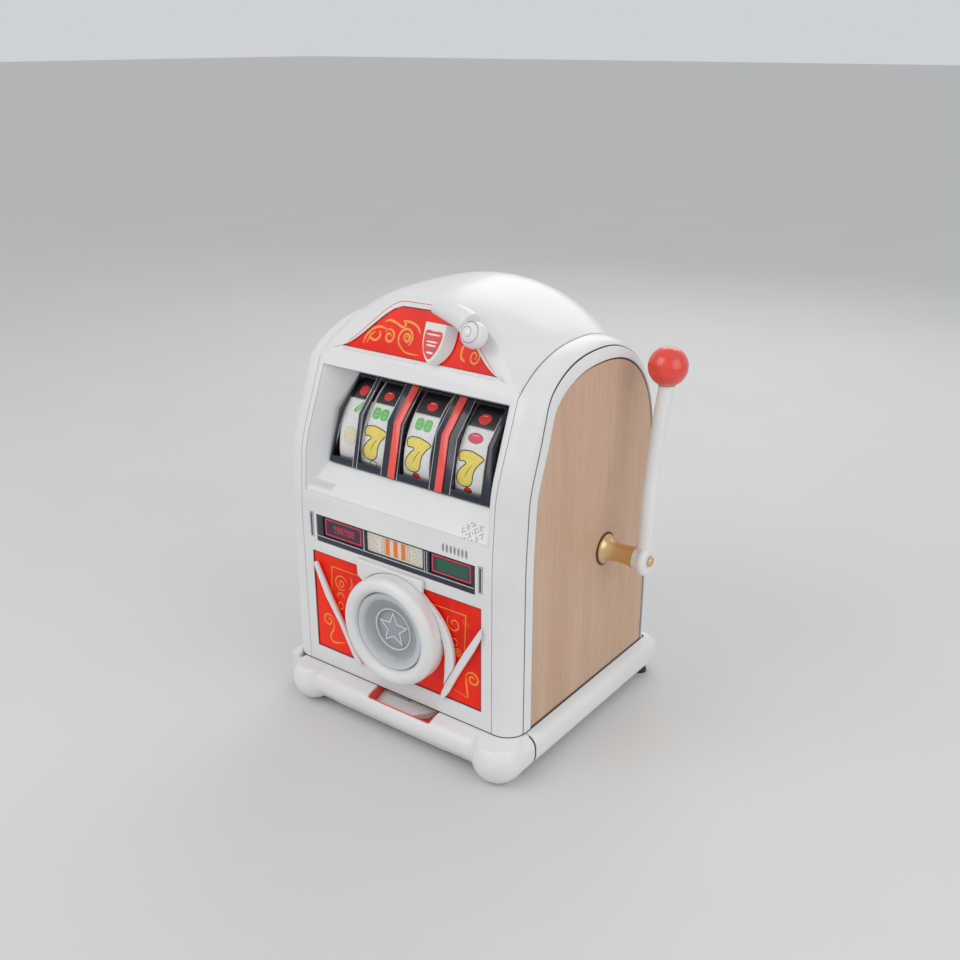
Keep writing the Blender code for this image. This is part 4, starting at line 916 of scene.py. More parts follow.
def reel_art(index, x, turn, inks):
    """Add one set of symbols to the ink lists of a reel."""
    band, lay = on_drum(x, turn), on_drum(x + ART_SHIFT[index], turn)
    half = REEL_WIDTH / 2.0
    low, high = degrees_along(TILE_BOTTOM), degrees_along(TILE_TOP)
    inks["black_ink"].append(patch(rect((-half + 0.0012, half - 0.0012), (low, high)), band))
    for edge in (low - 0.0008, high + 0.0008):
        inks["grey_ink"].append(stroke([(-half + 0.001, edge), (half - 0.001, edge)], 0.0005, band,
                                       taper=False))
    tile = degrees_along(22.5)
    over = dict(low=INK * 0.9, high=INK * 2.0)
    if index == 0:
        inks["red_ink"].append(patch(oval((0.004, tile), 0.0075, 0.0080), lay, **over))
        glint = [(0.0125, tile - 0.008), (0.0185, tile - 0.006), (0.0170, tile + 0.006)]
        inks["white_ink"].append(patch(glint, lay, **over))
        leaf = smooth_path([(0.006, degrees_along(5.2)), (0.0005, degrees_along(6.8)),
                            (0.0055, degrees_along(10.5)), (0.0125, degrees_along(14.2)),
                            (0.0115, degrees_along(9.0))], 5, closed=True)
        inks["green_ink"].append(patch(leaf, lay))
        vein = [(0.0055, degrees_along(4.6)), (0.0080, degrees_along(9.0)), (0.0112, degrees_along(12.6))]
        inks["white_ink"].append(stroke(smooth_path(vein), 0.0008, lay, **over))
        inks["pale_ink"].append(patch(oval((0.004, degrees_along(-12.0)), 0.0105, 0.0125), lay))
        inks["tan_ink"].append(stroke(oval((0.004, degrees_along(-12.0)), 0.0105, 0.0125), 0.0006, lay,
                                      high=INK * 1.4, closed=True))
        return
    inks["red_ink"].append(patch(moved(lips_outline(1.0 if index < 3 else 1.15), 0.001, tile), lay, **over))
    mouth = [(-0.0055, tile + 0.0006), (0.001, tile - 0.0006), (0.0070, tile + 0.0006)]
    inks["rose_ink"].append(stroke(mouth, 0.0011, lay, low=INK * 1.9, high=INK * 2.6))
    shine = [(-0.0040, tile + 0.0034), (0.0005, tile + 0.0044), (0.0035, tile + 0.0036)]
    inks["white_ink"].append(stroke(shine, 0.0009, lay, low=INK * 1.9, high=INK * 2.6))
    if index == 3:
        small = degrees_along(8.0)
        inks["rose_ink"].append(patch(oval((-0.001, small), 0.0115, 0.0068), lay))
        inks["black_ink"].append(stroke(oval((-0.001, small), 0.0115, 0.0068), 0.0006, lay, high=INK * 1.5,
                                        closed=True))
        inks["white_ink"].append(stroke([(-0.007, small + 0.0030), (0.004, small + 0.0036)], 0.0012, lay,
                                        **over))
    else:
        for x0 in (-0.0125, 0.0015):
            block = smooth_path(rect((x0, x0 + 0.0110), (degrees_along(4.6), degrees_along(11.8))), 3,
                                closed=True)
            inks["green_ink"].append(patch(block, lay))
            for k in range(2):
                bar = degrees_along(6.4 + 3.0 * k)
                inks["white_ink"].append(stroke([(x0 + 0.0030, bar), (x0 + 0.0080, bar + 0.0008)], 0.0012,
                                                lay, **over))
    lean = moved(seven_outline(), 0.0005, degrees_along(-13.0))
    inks["seven_ink"].append(patch(lean, lay))
    inks["black_ink"].append(stroke(lean, 0.0013, lay, high=INK * 1.6, closed=True))
    fold = [(-0.0060, degrees_along(-19.0)), (-0.0020, degrees_along(-14.5)),
            (0.0040, degrees_along(-10.0))]
    inks["black_ink"].append(stroke(smooth_path(fold), 0.0007, lay, high=INK * 2.0))
    dome = degrees_along(-29.2)
    inks["white_ink" if index == 1 else "red_ink"].append(patch(oval((0.0, dome), 0.0065, 0.0065), lay,
                                                                **over))
    inks["black_ink"].append(stroke(oval((0.0, dome), 0.0065, 0.0065), 0.0009, lay, low=0.0, high=INK * 2.4,
                                    closed=True))


def make_reels():
    half = REEL_WIDTH / 2.0
    web, rim, bore, hub = 0.0015, REEL_RADIUS - 0.0022, 0.0064, 0.014
    profile = [(bore, -0.012), (hub, -0.012), (hub, -web), (rim, -web), (rim, -half),
               (REEL_RADIUS - 0.0004, -half),
               (REEL_RADIUS, -half + 0.0005), (REEL_RADIUS, half - 0.0005), (REEL_RADIUS - 0.0004, half),
               (rim, half), (rim, web), (hub, web), (hub, 0.012), (bore, 0.012)]
    for index, x in enumerate(REEL_X):
        body = f"reel_{index + 1}"
        shifted = [(radius, x + along) for radius, along in profile]
        piece(f"{body}_drum", turned(shifted, "X", tuple(REEL_AXIS), 120), body, "paper",
              (body,))
        inks = {name: [] for name in ("black_ink", "grey_ink", "red_ink", "white_ink", "green_ink",
                                      "pale_ink", "tan_ink", "rose_ink", "seven_ink")}
        for k in range(REEL_SYMBOL_SETS):
            reel_art(index, x, 360.0 * k / REEL_SYMBOL_SETS, inks)
        for ink, marks in inks.items():
            if marks:
                piece(f"{body}_{ink}", gathered(*marks), body, ink)


def mask_edge(out):
    """Front edge (y, z) of the bars between the reels, pushed out by a distance."""
    ends = HALF_OPENING - 0.0012
    return [MIDDLE - UP * ends + OUT * (0.004 + out), MIDDLE + UP * 0.009 + OUT * (MASK_KNEE + out),
            MIDDLE + UP * ends + OUT * (0.0005 + out)]


def make_mask():
    piece("reel_divider_frame", copied("reel_mask"), CABINET, "navy", ("reel_mask",),
          0.5 * MM)
    for hand in ("left", "right"):
        piece(f"red_divider_{hand}", copied(f"red_bar_{hand}"), CABINET, "red_bar",
              (f"red_bar_{hand}",), 0.7 * MM, 3)
    lines = []
    for left, right in REEL_WINDOWS:
        for x in (left, right):
            if abs(x) < 0.120:
                lines.append(tube([(x, *p) for p in mask_edge(0.0002)], 0.00055, 8))
    piece("divider_chrome_lines", gathered(*lines), CABINET, "chrome")


# ======== Top glass, shield and curl ========
def bell_outline(extra=0.0):
    low, high = BELL_Z
    right = []
    steps = 20
    for i in range(steps + 1):
        share = i / steps
        x = BELL_SHOULDER + (BELL_HALF + extra * 2.2 - BELL_SHOULDER) * share
        drop = 0.5 - 0.5 * math.cos(math.pi * share ** 0.92)
        right.append((x, high + extra + (low - high - extra * 2.0) * (0.80 * drop + 0.20 * share)))
    left = [(-x, z) for x, z in reversed(right)]
    return left + [(0.0, high + extra + 0.0008)] + right


def make_top_glass():
    outline = bell_outline(-GAP)
    pane = loft([[on_lean(x, z, out) for x, z in outline] for out in (-0.0045, -0.0015)])
    piece("top_glass_pane", pane, CABINET, "red_glass", ("top_glass",), 0.4 * MM)
    bead = stroke(bell_outline(0.0012), 0.0016, on_lean, -0.0010, 0.0009, closed=True)
    piece("top_glass_bead", bead, CABINET, "enamel", bevel=0.4 * MM)
    rim = stroke(bell_outline(-0.0002), 0.0009, on_lean, -0.0018, -0.0004, closed=True)
    piece("top_glass_shadow_line", rim, CABINET, "dark_painted_shade")
    pin = bell_outline(0.0062)
    red = [stroke(pin[1:-1], 0.0009, on_lean), stroke([(-0.128, 0.5215), (0.006, 0.5215)], 0.0008, on_lean),
           stroke([(0.060, 0.5215), (0.126, 0.5215)], 0.0008, on_lean)]
    piece("top_pinstripe", gathered(*red), CABINET, "red_ink")

    def on_glass(x, z, out=0.0):
        return on_lean(x, z, out - 0.0015)
    wide, thin = 0.0026, 0.0017
    scrolls = [
        (scroll((-0.0535, 0.5475), 0.0098, 0.0020, 150.0, -1.45), wide),
        (smooth_path([(-0.0950, 0.5330), (-0.0925, 0.5430), (-0.0840, 0.5525), (-0.0730, 0.5570),
                      (-0.0605, 0.5560)]), wide),
        (smooth_path([(-0.0890, 0.5345), (-0.0860, 0.5440), (-0.0780, 0.5505)]), thin),
        (smooth_path([(-0.0720, 0.5525), (-0.0690, 0.5460), (-0.0755, 0.5400), (-0.0840, 0.5415),
                      (-0.0868, 0.5462)]), wide),
        (scroll((-0.0250, 0.5490), 0.0135, 0.0095, 250.0, -0.85), wide),
        (scroll((-0.0235, 0.5490), 0.0065, 0.0030, 200.0, -1.1), wide),
        (oval((-0.0235, 0.5490), 0.0026, 0.0026, 14) + [(-0.0209, 0.5490)], 0.0011),
        (smooth_path([(-0.0370, 0.5440), (-0.0300, 0.5370), (-0.0195, 0.5320), (0.0010, 0.5318)]), thin),
        (smooth_path([(-0.0655, 0.5640), (-0.0580, 0.5672), (-0.0455, 0.5650), (-0.0345, 0.5615),
                      (-0.0300, 0.5655), (-0.0355, 0.5692)]), wide),
        (smooth_path([(-0.0355, 0.5692), (-0.0215, 0.5690), (-0.0095, 0.5645), (-0.0035, 0.5570)]), wide),
        (smooth_path([(0.0725, 0.5585), (0.0670, 0.5500), (0.0678, 0.5400), (0.0748, 0.5350)]), wide),
        (scroll((0.0875, 0.5430), 0.0105, 0.0025, 100.0, -1.5, 0.85), thin),
    ]
    piece("top_glass_scrolls", gathered(*(stroke(path, width, on_glass) for path, width in scrolls)),
          CABINET, "yellow_ink")
    cores = gathered(*(stroke(path, width * 0.34, on_glass, INK * 0.9, INK * 1.6)
                       for path, width in scrolls))
    piece("top_glass_scroll_cores", cores, CABINET, "orange_ink")


def shield_outline(steps=6):
    middle, half, top, tip = 0.0345, 0.0220, 0.5725, 0.5245
    right = [(middle + half, top), (middle + half, top - 0.016), (middle + half * 0.88, top - 0.028),
             (middle + half * 0.52, top - 0.040), (middle + 0.0012, tip)]
    curve = smooth_path(right[1:], steps)
    left = [(2 * middle - x, z) for x, z in reversed(curve)]
    return [right[0]] + curve + left + [(2 * middle - right[0][0], top)]


def make_shield():
    """A shield whose right flank slopes back from a narrower face."""
    outline, face_out, left = shield_outline(), 0.0130, 0.0125
    face_outline = [(left + (x - left) * 0.75, z) for x, z in outline]
    solid = loft([[on_lean(x, z, GAP) for x, z in outline],
                  [on_lean(x, z, face_out) for x, z in face_outline]])
    piece("shield_plate", solid, CABINET, "enamel", ("shield",), 1.2 * MM, 3)

    def face(x, z, out=0.0):
        return on_lean(x, z, face_out + out)
    inner = smooth_path([(0.0160, 0.5622), (0.0290, 0.5626), (0.0422, 0.5620), (0.0415, 0.5480),
                         (0.0352, 0.5350), (0.0288, 0.5292), (0.0215, 0.5345), (0.0166, 0.5440)],
                        3, closed=True)
    piece("shield_field", patch(inner, face, high=0.0004), CABINET, "red_ink")
    rows = {"white_ink": [], "grey_ink": []}
    for k, ink in enumerate(("white_ink", "grey_ink", "white_ink", "white_ink", "grey_ink", "white_ink")):
        z = 0.5585 - 0.0043 * k
        reach = 0.0112 * (1.0 - 0.105 * k)
        wave = [(0.0290 - reach + 2 * reach * i / 18, z + 0.0005 * math.sin(i * 1.9 + k))
                for i in range(19)]
        rows[ink].append(stroke(wave, 0.0016 if ink == "white_ink" else 0.0008, face, 0.0004, 0.0007))
    for ink, marks in rows.items():
        piece(f"shield_stripes_{ink}", gathered(*marks), CABINET, ink)


def make_curl():
    """The cast curl that runs from the roof over the shield and ends in a rolled ball."""
    spine = [on_lean(x, z, radius + 0.0010) for x, z, radius in CURL]
    body = tube(spine, [radius for _, _, radius in CURL], 24)
    x, z, radius = CURL_END
    ball = bmesh.new()
    bmesh.ops.create_uvsphere(ball, u_segments=40, v_segments=24, radius=radius)
    bmesh.ops.translate(ball, vec=on_lean(x, z, radius + 0.0010), verts=ball.verts)
    cast = melted(gathered(body, ball), 0.9 * MM, 10)
    piece("roof_curl", cast, CABINET, "enamel", ("coin_head",), crisp=180.0)
    # A grey line of painted shade along the curl's spiral fold.
    groove = []
    for across, up in scroll((0.0, 0.0), 0.0150, 0.0035, 120.0, -1.6):
        rise = math.sqrt(max(radius ** 2 - across ** 2 - up ** 2, 0.0))
        groove.append(on_lean(x + across, z + up, radius + 0.0006 + rise))
    piece("curl_fold_line", tube(groove, 0.0005, 8), CABINET, "seam")


# ======== Display strip ========
def make_display():
    piece("display_tray", copied("display_housing"), CABINET, "navy", ("display_housing",),
          0.4 * MM)
    face = on_pane(0.0035)
    z = (DISPLAY[1] + 0.0100, DISPLAY[2] - 0.0022)
    screens = (("left", (-0.1265, -0.0545), "left_screen", "display_left"),
               ("right", (0.0640, 0.1325), "right_screen", "display_right"))
    for name, x, finish, node in screens:
        tile = patch(rect((x[0] + GAP, x[1] - GAP), (z[0] + GAP, z[1] - GAP)), face, -0.0021, 0.0)
        piece(f"{name}_screen", tile, CABINET, finish, (node,), 0.25 * MM)
        rim = frame_of((x[0] + 0.0035, x[1] - 0.0035), (z[0] + 0.0030, z[1] - 0.0030), 0.0014, face, 0.0004)
        piece(f"{name}_screen_rim", rim, CABINET, "red_lamp")
    digits = []
    for k in range(6):
        x = -0.108 + 0.0066 * k
        mid = (z[0] + z[1]) / 2
        for low, high in ((mid + 0.0006, mid + 0.0042), (mid - 0.0042, mid - 0.0006)):
            for side in (0.0, 0.0036):
                if (k + int(side * 1000)) % 3 or low > mid:
                    upright = rect((x + side, x + side + 0.0008), (low, high))
                    digits.append(patch(upright, face, 0.0, 0.0003))
        for level in (mid - 0.0046, mid - 0.0004, mid + 0.0040):
            digits.append(patch(rect((x + 0.0006, x + 0.0038), (level, level + 0.0008)), face, 0.0, 0.0003))
    piece("left_screen_segments", gathered(*digits), CABINET, "red_lamp")
    pane = patch(rect((0.0755, 0.1265), (z[0] + 0.0055, z[1] - 0.0055)), face, 0.0, 0.0003)
    piece("right_screen_field", pane, CABINET, "green_lamp")

    card = patch(rect((-0.0463 + GAP, 0.0525 - GAP), (z[0] + GAP, z[1] - GAP)), face, -0.0021, 0.0)
    piece("pay_card", card, CABINET, "card", ("award_card",), 0.25 * MM)
    marks = {"orange_ink": [], "tan_ink": [], "grey_ink": []}
    for x in (-0.0135, 0.0005, 0.0140):
        marks["orange_ink"].append(patch(rect((x, x + 0.0075), (z[0] + 0.0028, z[1] - 0.0028)), face))
    for x in (-0.0200, -0.0165, 0.0242, 0.0275):
        marks["tan_ink"].append(patch(rect((x, x + 0.0016), (z[0] + 0.0026, z[1] - 0.0026)), face))
    for k in range(7):
        level = z[0] + 0.0035 + 0.0032 * k
        for start, length in ((-0.0430, 0.0170 - 0.0018 * (k % 3)),
                              (0.0330, 0.0165 - 0.0015 * ((k + 1) % 3))):
            pieces_of_line = 4
            for m in range(pieces_of_line):
                x = start + length * m / pieces_of_line
                marks["tan_ink" if (k + m) % 3 else "grey_ink"].append(
                    patch(rect((x, x + length / pieces_of_line * 0.72), (level, level + 0.0007)), face))
    for ink, shapes in marks.items():
        piece(f"pay_card_{ink}", gathered(*shapes), CABINET, ink)
    ledge = tube([(-0.137, Y_FRONT + 0.0006, DISPLAY[1] + 0.0088),
                  (0.137, Y_FRONT + 0.0006, DISPLAY[1] + 0.0088)],
                 0.0007, 8)
    posts = [tube([(x, Y_FRONT + 0.0008, z[0]), (x, Y_FRONT + 0.0008, z[1])], 0.0006, 8)
             for x in (-0.0500, 0.0560, 0.0600)]
    piece("display_chrome_lines", gathered(ledge, *posts), CABINET, "chrome")
    # Pale rings of painted shade on the walls of the coin slots.
    slots = []
    for side in (1, -1):
        x = sorted((side * (SLOT_X[0] + 0.0002), side * (SLOT_X[1] - 0.0002)))
        slots.append(frame_of((x[0] + 0.0009, x[1] - 0.0009), (SLOT_Z[0] + 0.0011, SLOT_Z[1] - 0.0011),
                              0.0014, on_pane(0.0006), 0.0012))
    piece("coin_slot_linings", gathered(*slots), CABINET, "pale_painted_shade")


# ======== Lower glass and medallion ========
def make_lower_glass():
    half, low, high = LOWER_GLASS
    half, low, high = half - GAP, low + GAP, high - GAP
    outline = rect((-half, half), (low, high))
    pane = prism(outline, "Y", Y_FRONT + 0.002, Y_FRONT + 0.005)
    piece("lower_glass_pane", pane, CABINET, "red_glass", ("lower_glass",), 0.3 * MM)
    rim = frame_of((-half + 0.0004, half - 0.0004), (low + 0.0004, high - 0.0004), 0.0009, on_pane(0.0020),
                   0.0010)
    piece("lower_glass_shadow_line", rim, CABINET, "dark_painted_shade")
    glass = on_pane(0.0020)
    thin, wide = 0.0014, 0.0022
    lines = [
        ([(-0.1178, 0.1655), (-0.1145, 0.2203), (-0.0480, 0.2203)], thin),
        ([(0.0520, 0.2190), (0.1225, 0.2190), (0.1195, 0.1560)], thin),
        ([(0.1185, 0.2110), (0.1290, 0.2060)], 0.0009), ([(0.1180, 0.2080), (0.1285, 0.2025)], 0.0009),
        (scroll((-0.0978, 0.1985), 0.0115, 0.0100, 20.0, 0.8), thin),
        (scroll((-0.0978, 0.1985), 0.0060, 0.0020, 200.0, 1.2), thin),
        (smooth_path([(-0.0790, 0.2125), (-0.0772, 0.2020), (-0.0822, 0.1925)]), thin),
        (smooth_path([(-0.1070, 0.1750), (-0.1035, 0.1815), (-0.0960, 0.1815), (-0.0935, 0.1765)]), thin),
        (oval((-0.1005, 0.1625), 0.0045, 0.0055) + [(-0.0960, 0.1625)], thin),
        (scroll((-0.1265, 0.1310), 0.0110, 0.0030, 0.0, 1.35), wide),
        (smooth_path([(-0.1155, 0.1310), (-0.1180, 0.1180), (-0.1240, 0.1060), (-0.1180, 0.0975),
                      (-0.0960, 0.1035)]), wide),
        (scroll((0.1030, 0.2005), 0.0125, 0.0030, 130.0, 1.25), thin),
        (oval((0.1035, 0.1740), 0.0048, 0.0052) + [(0.1083, 0.1740)], thin),
        (oval((0.1085, 0.1600), 0.0048, 0.0052) + [(0.1133, 0.1600)], thin),
        (oval((0.1085, 0.1600), 0.0018, 0.0020, 12) + [(0.1103, 0.1600)], thin),
        (scroll((0.1335, 0.1275), 0.0115, 0.0025, 180.0, -1.45), wide),
        (smooth_path([(0.1220, 0.1275), (0.1235, 0.1120), (0.1255, 0.0965)]), wide),
        ([(0.1255, 0.0965), (0.1030, 0.1010)], wide),
    ]
    piece("lower_glass_scrolls", gathered(*(stroke(path, width, glass) for path, width in lines)), CABINET,
          "yellow_ink")
    cores = gathered(*(stroke(path, width * 0.34, glass, INK * 0.9, INK * 1.6) for path, width in lines))
    piece("lower_glass_scroll_cores", cores, CABINET, "orange_ink")


def make_medallion():
    back = Y_FRONT - GAP
    crown = arc((RING_INNER + 0.0110, RING_FRONT_Y + 0.0095), 0.0095, 185.0, 270.0, 10)
    brow = arc((RING_RADIUS - 0.0105, RING_FRONT_Y + 0.0105), 0.0105, 270.0, 360.0, 12)
    profile = [(RING_INNER, back), (RING_INNER, RING_FRONT_Y + 0.0130), *crown, *brow, (RING_RADIUS, back)]
    piece("medallion_ring", turned(profile, "Y", RING_CENTRE, 128), CABINET, "enamel",
          ("ring_bezel",), crisp=40.0)
    radius = RING_INNER - 0.0006
    steps = [(0.0040, -0.1868), (0.0120, -0.1866), (0.0215, -0.1858), (0.0270, -0.1852), (0.0290, -0.1862),
             (0.0305, -0.1875), (0.0330, -0.1882), (0.0400, -0.1890), (0.0430, -0.1905), (0.0445, -0.1935),
             (0.0460, -0.1950), (0.0500, -0.1962), (radius - 0.0008, -0.1972), (radius, -0.1964),
             (radius, back)]
    piece("medallion_dish", turned_solid(steps, "Y", RING_CENTRE, 128), CABINET, "dish",
          ("dish",), crisp=50.0)

    def on_dish(x, z, out=0.0):
        return Vector((RING_CENTRE[0] + x, -0.1864 - out, RING_CENTRE[1] + z))
    star = []
    for i in range(10):
        reach = 0.0240 if i % 2 == 0 else 0.0108
        angle = math.radians(90.0 + 36.0 * i)
        star.append((reach * math.cos(angle), reach * math.sin(angle)))
    marks = [stroke(star, 0.0022, on_dish, -0.0014, 0.0008, closed=True),
             stroke(circle((0.0, 0.0), 0.0300, 72), 0.0020, on_dish, -0.0006, 0.0020, closed=True)]
    piece("medallion_star", gathered(*marks), CABINET, "pale_grey_ink")
    for node, width in (("strap_left", 1.6), ("strap_right", 1.6), ("crescent_trim", 1.8),
                        ("tab_bracket", 2.2)):
        piece(f"{node}_casting", copied(node), CABINET, "enamel", (node,), width * MM, 3,
              40.0)


# ======== Handle ========
def make_handle():
    hub = HUB
    boss = [(0.0074, 0.180), (0.0120, 0.180), (0.0120, 0.1989), (0.0212, 0.1989), (0.0216, 0.2000),
            (0.0213, 0.2016), (0.0202, 0.2030), (0.0180, 0.2050), (0.0160, 0.2080), (0.0144, 0.2120),
            (0.0134, 0.2170), (0.0129, 0.2240), (0.0131, 0.2310), (0.0138, 0.2380), (0.0149, 0.2440),
            (0.0150, 0.2466), (0.0074, 0.2466)]
    piece("handle_spool", turned(boss, "X", hub, 72), CABINET, "brass", ("handle_boss",),
          crisp=45.0)
    washer = turned([(0.0128, 0.1986), (0.0236, 0.1986), (0.0240, 0.1992), (0.0128, 0.1996)], "X", hub, 64)
    piece("spool_shadow_washer", washer, CABINET, "dark_painted_shade")
    rim = arc((0.2625, 0.0150), 0.0065, 180.0, 0.0, 14)
    flange = [(0.0076, 0.2470), (0.0150, 0.2470), (0.0155, 0.2475), (0.0155, 0.2560),
              *((radius, x) for x, radius in rim), (0.0120, 0.2692), (0.0110, 0.2684), (0.0076, 0.2684)]
    flange_ring = turned(flange, "X", hub, 72)
    base = Vector((ARM_X + 0.0015, hub[0] + 0.001, hub[1] + 0.0095))
    top = Vector((ARM_X, KNOB[0], KNOB[1] - KNOB_DROP - GAP))
    path = []
    steps = 28
    for i in range(steps + 1):
        share = i / steps
        point = base.lerp(top, share)
        point.y -= 0.009 * math.sin(math.pi * share)
        path.append(point)
    swell = [ARM_RADIUS * (1.0 - 0.06 * math.sin(math.pi * i / steps)) for i in range(steps + 1)]
    arm = tube(path, swell, 36)
    piece("handle_lever", gathered(flange_ring, arm), "handle", "enamel", ("handle_arm",),
          crisp=45.0)
    crown = [(0.0070, 0.2640), (0.0070, 0.2700), (0.0066, 0.2712), (0.0050, 0.2720), (0.0020, 0.2724)]
    cap = turned_solid(crown, "X", hub, 40)
    piece("handle_axle_cap", cap, "handle", "brass", crisp=50.0)
    ball = []
    underside = math.asin(-KNOB_DROP / KNOB_RADIUS)
    rings = 40
    for i in range(rings + 1):
        angle = underside + (math.radians(89.2) - underside) * i / rings
        ball.append((KNOB_RADIUS * math.cos(angle), KNOB[1] + KNOB_RADIUS * math.sin(angle)))
    profile = [(ball[0][0] - 0.0012, ball[0][1])] + ball
    piece("handle_ball", turned_solid(profile, "Z", (ARM_X, KNOB[0]), 72), "handle",
          "red_plastic", ("knob",), crisp=60.0)
    collar = turned([(0.0102, KNOB[1] - 0.0262), (0.0118, KNOB[1] - 0.0256), (0.0118, KNOB[1] - 0.0242),
                     (0.0102, KNOB[1] - 0.0242)], "Z", (ARM_X, KNOB[0]), 48)
    piece("handle_ball_collar", collar, "handle", "chrome", crisp=50.0)


# ======== Base ========
def rail_outline():
    crown = arc((RAIL_X - 0.0165, 0.0385), 0.0165, 80.0, 0.0, 12)
    foot = arc((RAIL_X - 0.0165, 0.0265), 0.0165, 0.0, -80.0, 12)
    return [(RAIL_INNER_X, BASE_TOP), (0.199, BASE_TOP), *crown, *foot, (RAIL_INNER_X, RAIL_BOTTOM)]


def make_base():
    cast = melted(copied("front_base"), 1.5 * MM, 8)
    for _ in range(BULB_ROUNDS):
        bulbs = [v for v in cast.verts if abs(v.co.x) > BULB_START_X and 0.004 < v.co.z < BASE_TOP - 0.003]
        bmesh.ops.smooth_vert(cast, verts=bulbs, factor=0.5, use_axis_x=True, use_axis_y=True,
                              use_axis_z=True)
    piece("base_front_roll", cast, CABINET, "enamel", ("front_base",), crisp=180.0)
    for hand, side in (("right", 1), ("left", -1)):
        rail = prism(rail_outline(), "Y", RAIL_FRONT_Y, 0.186)
        piece(f"{hand}_base_rail", rail if side > 0 else mirrored(rail), CABINET, "enamel",
              (f"{hand}_rail",), 1.2 * MM, 3)
        # A dark copy of the rail's outline at its front end paints the shade in the corner joint.
        corner_shade = prism([(x - 0.0006, z) for x, z in rail_outline()], "Y",
                     RAIL_FRONT_Y - 0.0016, RAIL_FRONT_Y + 0.0006)
        bmesh.ops.scale(corner_shade, vec=(1.0, 1.0, 0.97), verts=corner_shade.verts)
        bmesh.ops.translate(corner_shade, vec=(-0.0004, 0.0, 0.0006), verts=corner_shade.verts)
        piece(f"{hand}_corner_joint", corner_shade if side > 0 else mirrored(corner_shade), CABINET,
              "dark_painted_shade")
    piece("rear_base_rail", copied("rear_rail"), CABINET, "enamel", ("rear_rail",),
          1.0 * MM, 3)
    make_body_joint()


def make_body_joint():
    """A dark line of painted shade in the joint between the cabinet and its base."""
    outer, height = 0.0006, BODY_BOTTOM - 0.0002
    ring = []
    for side in (1, -1):
        corner = arc((side * (HALF_WIDTH - 0.030), Y_FRONT + 0.030), 0.030 - outer,
                     0.0 if side > 0 else 270.0, -90.0 if side > 0 else 180.0, 12)
        ring.append(corner)
    front = ring[0] + ring[1]
    rear = [(-HALF_WIDTH + outer, Y_REAR - 0.001), (HALF_WIDTH - outer, Y_REAR - 0.001)]
    path = [(x, y, height) for x, y in front + rear]
    piece("body_base_joint", tube(path, 0.0012, 8, closed=True), CABINET, "dark_painted_shade")


def make_tray():
    piece("tray_cup", copied("coin_tray"), CABINET, "red_plastic", ("coin_tray",), 0.4 * MM)
    floor = TRAY_FLOOR + 0.0022
    outline = [(-0.0318, -0.1620), (0.0640, -0.1620), (0.0180, -0.1945), (-0.0318, -0.1945)]
    slope = loft([[(x, y, floor) for x, y in outline],
                  [(x, y, floor + 0.0015 + max(0.0, (y + 0.1945) * 0.36)) for x, y in outline]])
    piece("tray_slope", slope, CABINET, "enamel", bevel=0.6 * MM)
    end = box((0.0725, 0.0745), (-0.1900, -0.1625), (floor, 0.0530))
    piece("tray_end_plate", end, CABINET, "navy", bevel=0.4 * MM)
    piece("payout_leaf", copied("payout_flap"), "payout_flap", "blue_steel", ("payout_flap",),
          0.2 * MM)


# ======== Repeats, by Geometry Nodes ========
def repeat_tree(name, finish):
    """A tree that puts a flat stud at every point, turned to face its own direction."""
    tree = bpy.data.node_groups.new(name, "GeometryNodeTree")
    face = tree.interface
    face.new_socket("Geometry", in_out="INPUT", socket_type="NodeSocketGeometry")
    for label, value in (("Length", 0.003), ("Width", 0.001), ("Depth", 0.0004)):
        socket = face.new_socket(label, in_out="INPUT", socket_type="NodeSocketFloat")
        socket.default_value = value
    face.new_socket("Turn", in_out="INPUT", socket_type="NodeSocketFloat").default_value = 0.0
    count = face.new_socket("Sides", in_out="INPUT", socket_type="NodeSocketInt")
    count.default_value = 16
    face.new_socket("Geometry", in_out="OUTPUT", socket_type="NodeSocketGeometry")
    nodes, links = tree.nodes, tree.links
    entry, leave = nodes.new("NodeGroupInput"), nodes.new("NodeGroupOutput")
    shape = nodes.new("GeometryNodeMeshCylinder")
    links.new(entry.outputs["Sides"], shape.inputs["Vertices"])
    shape.inputs["Radius"].default_value = 0.5
    shape.inputs["Depth"].default_value = 1.0
    size = nodes.new("ShaderNodeCombineXYZ")
    links.new(entry.outputs["Width"], size.inputs["X"])
    links.new(entry.outputs["Length"], size.inputs["Y"])
    links.new(entry.outputs["Depth"], size.inputs["Z"])
    facing = nodes.new("GeometryNodeInputNamedAttribute")
    facing.data_type = "FLOAT_VECTOR"
    facing.inputs["Name"].default_value = "facing"
    turn = nodes.new("FunctionNodeAlignRotationToVector")
    turn.axis = "Z"
    links.new(facing.outputs["Attribute"], turn.inputs["Vector"])
    spin = nodes.new("ShaderNodeCombineXYZ")
    links.new(entry.outputs["Turn"], spin.inputs["Z"])
    angle = nodes.new("FunctionNodeEulerToRotation")
    links.new(spin.outputs["Vector"], angle.inputs["Euler"])
    slant = nodes.new("FunctionNodeRotateRotation")
    slant.rotation_space = "LOCAL"
    links.new(turn.outputs["Rotation"], slant.inputs["Rotation"])
    links.new(angle.outputs["Rotation"], slant.inputs["Rotate By"])
    put = nodes.new("GeometryNodeInstanceOnPoints")
    links.new(entry.outputs["Geometry"], put.inputs["Points"])
    links.new(shape.outputs["Mesh"], put.inputs["Instance"])
    links.new(slant.outputs["Rotation"], put.inputs["Rotation"])
    links.new(size.outputs["Vector"], put.inputs["Scale"])
    real = nodes.new("GeometryNodeRealizeInstances")
    links.new(put.outputs["Instances"], real.inputs["Geometry"])
    paint = nodes.new("GeometryNodeSetMaterial")
    paint.inputs["Material"].default_value = FINISHES[finish]
    links.new(real.outputs["Geometry"], paint.inputs["Geometry"])
    links.new(paint.outputs["Geometry"], leave.inputs["Geometry"])
    return tree


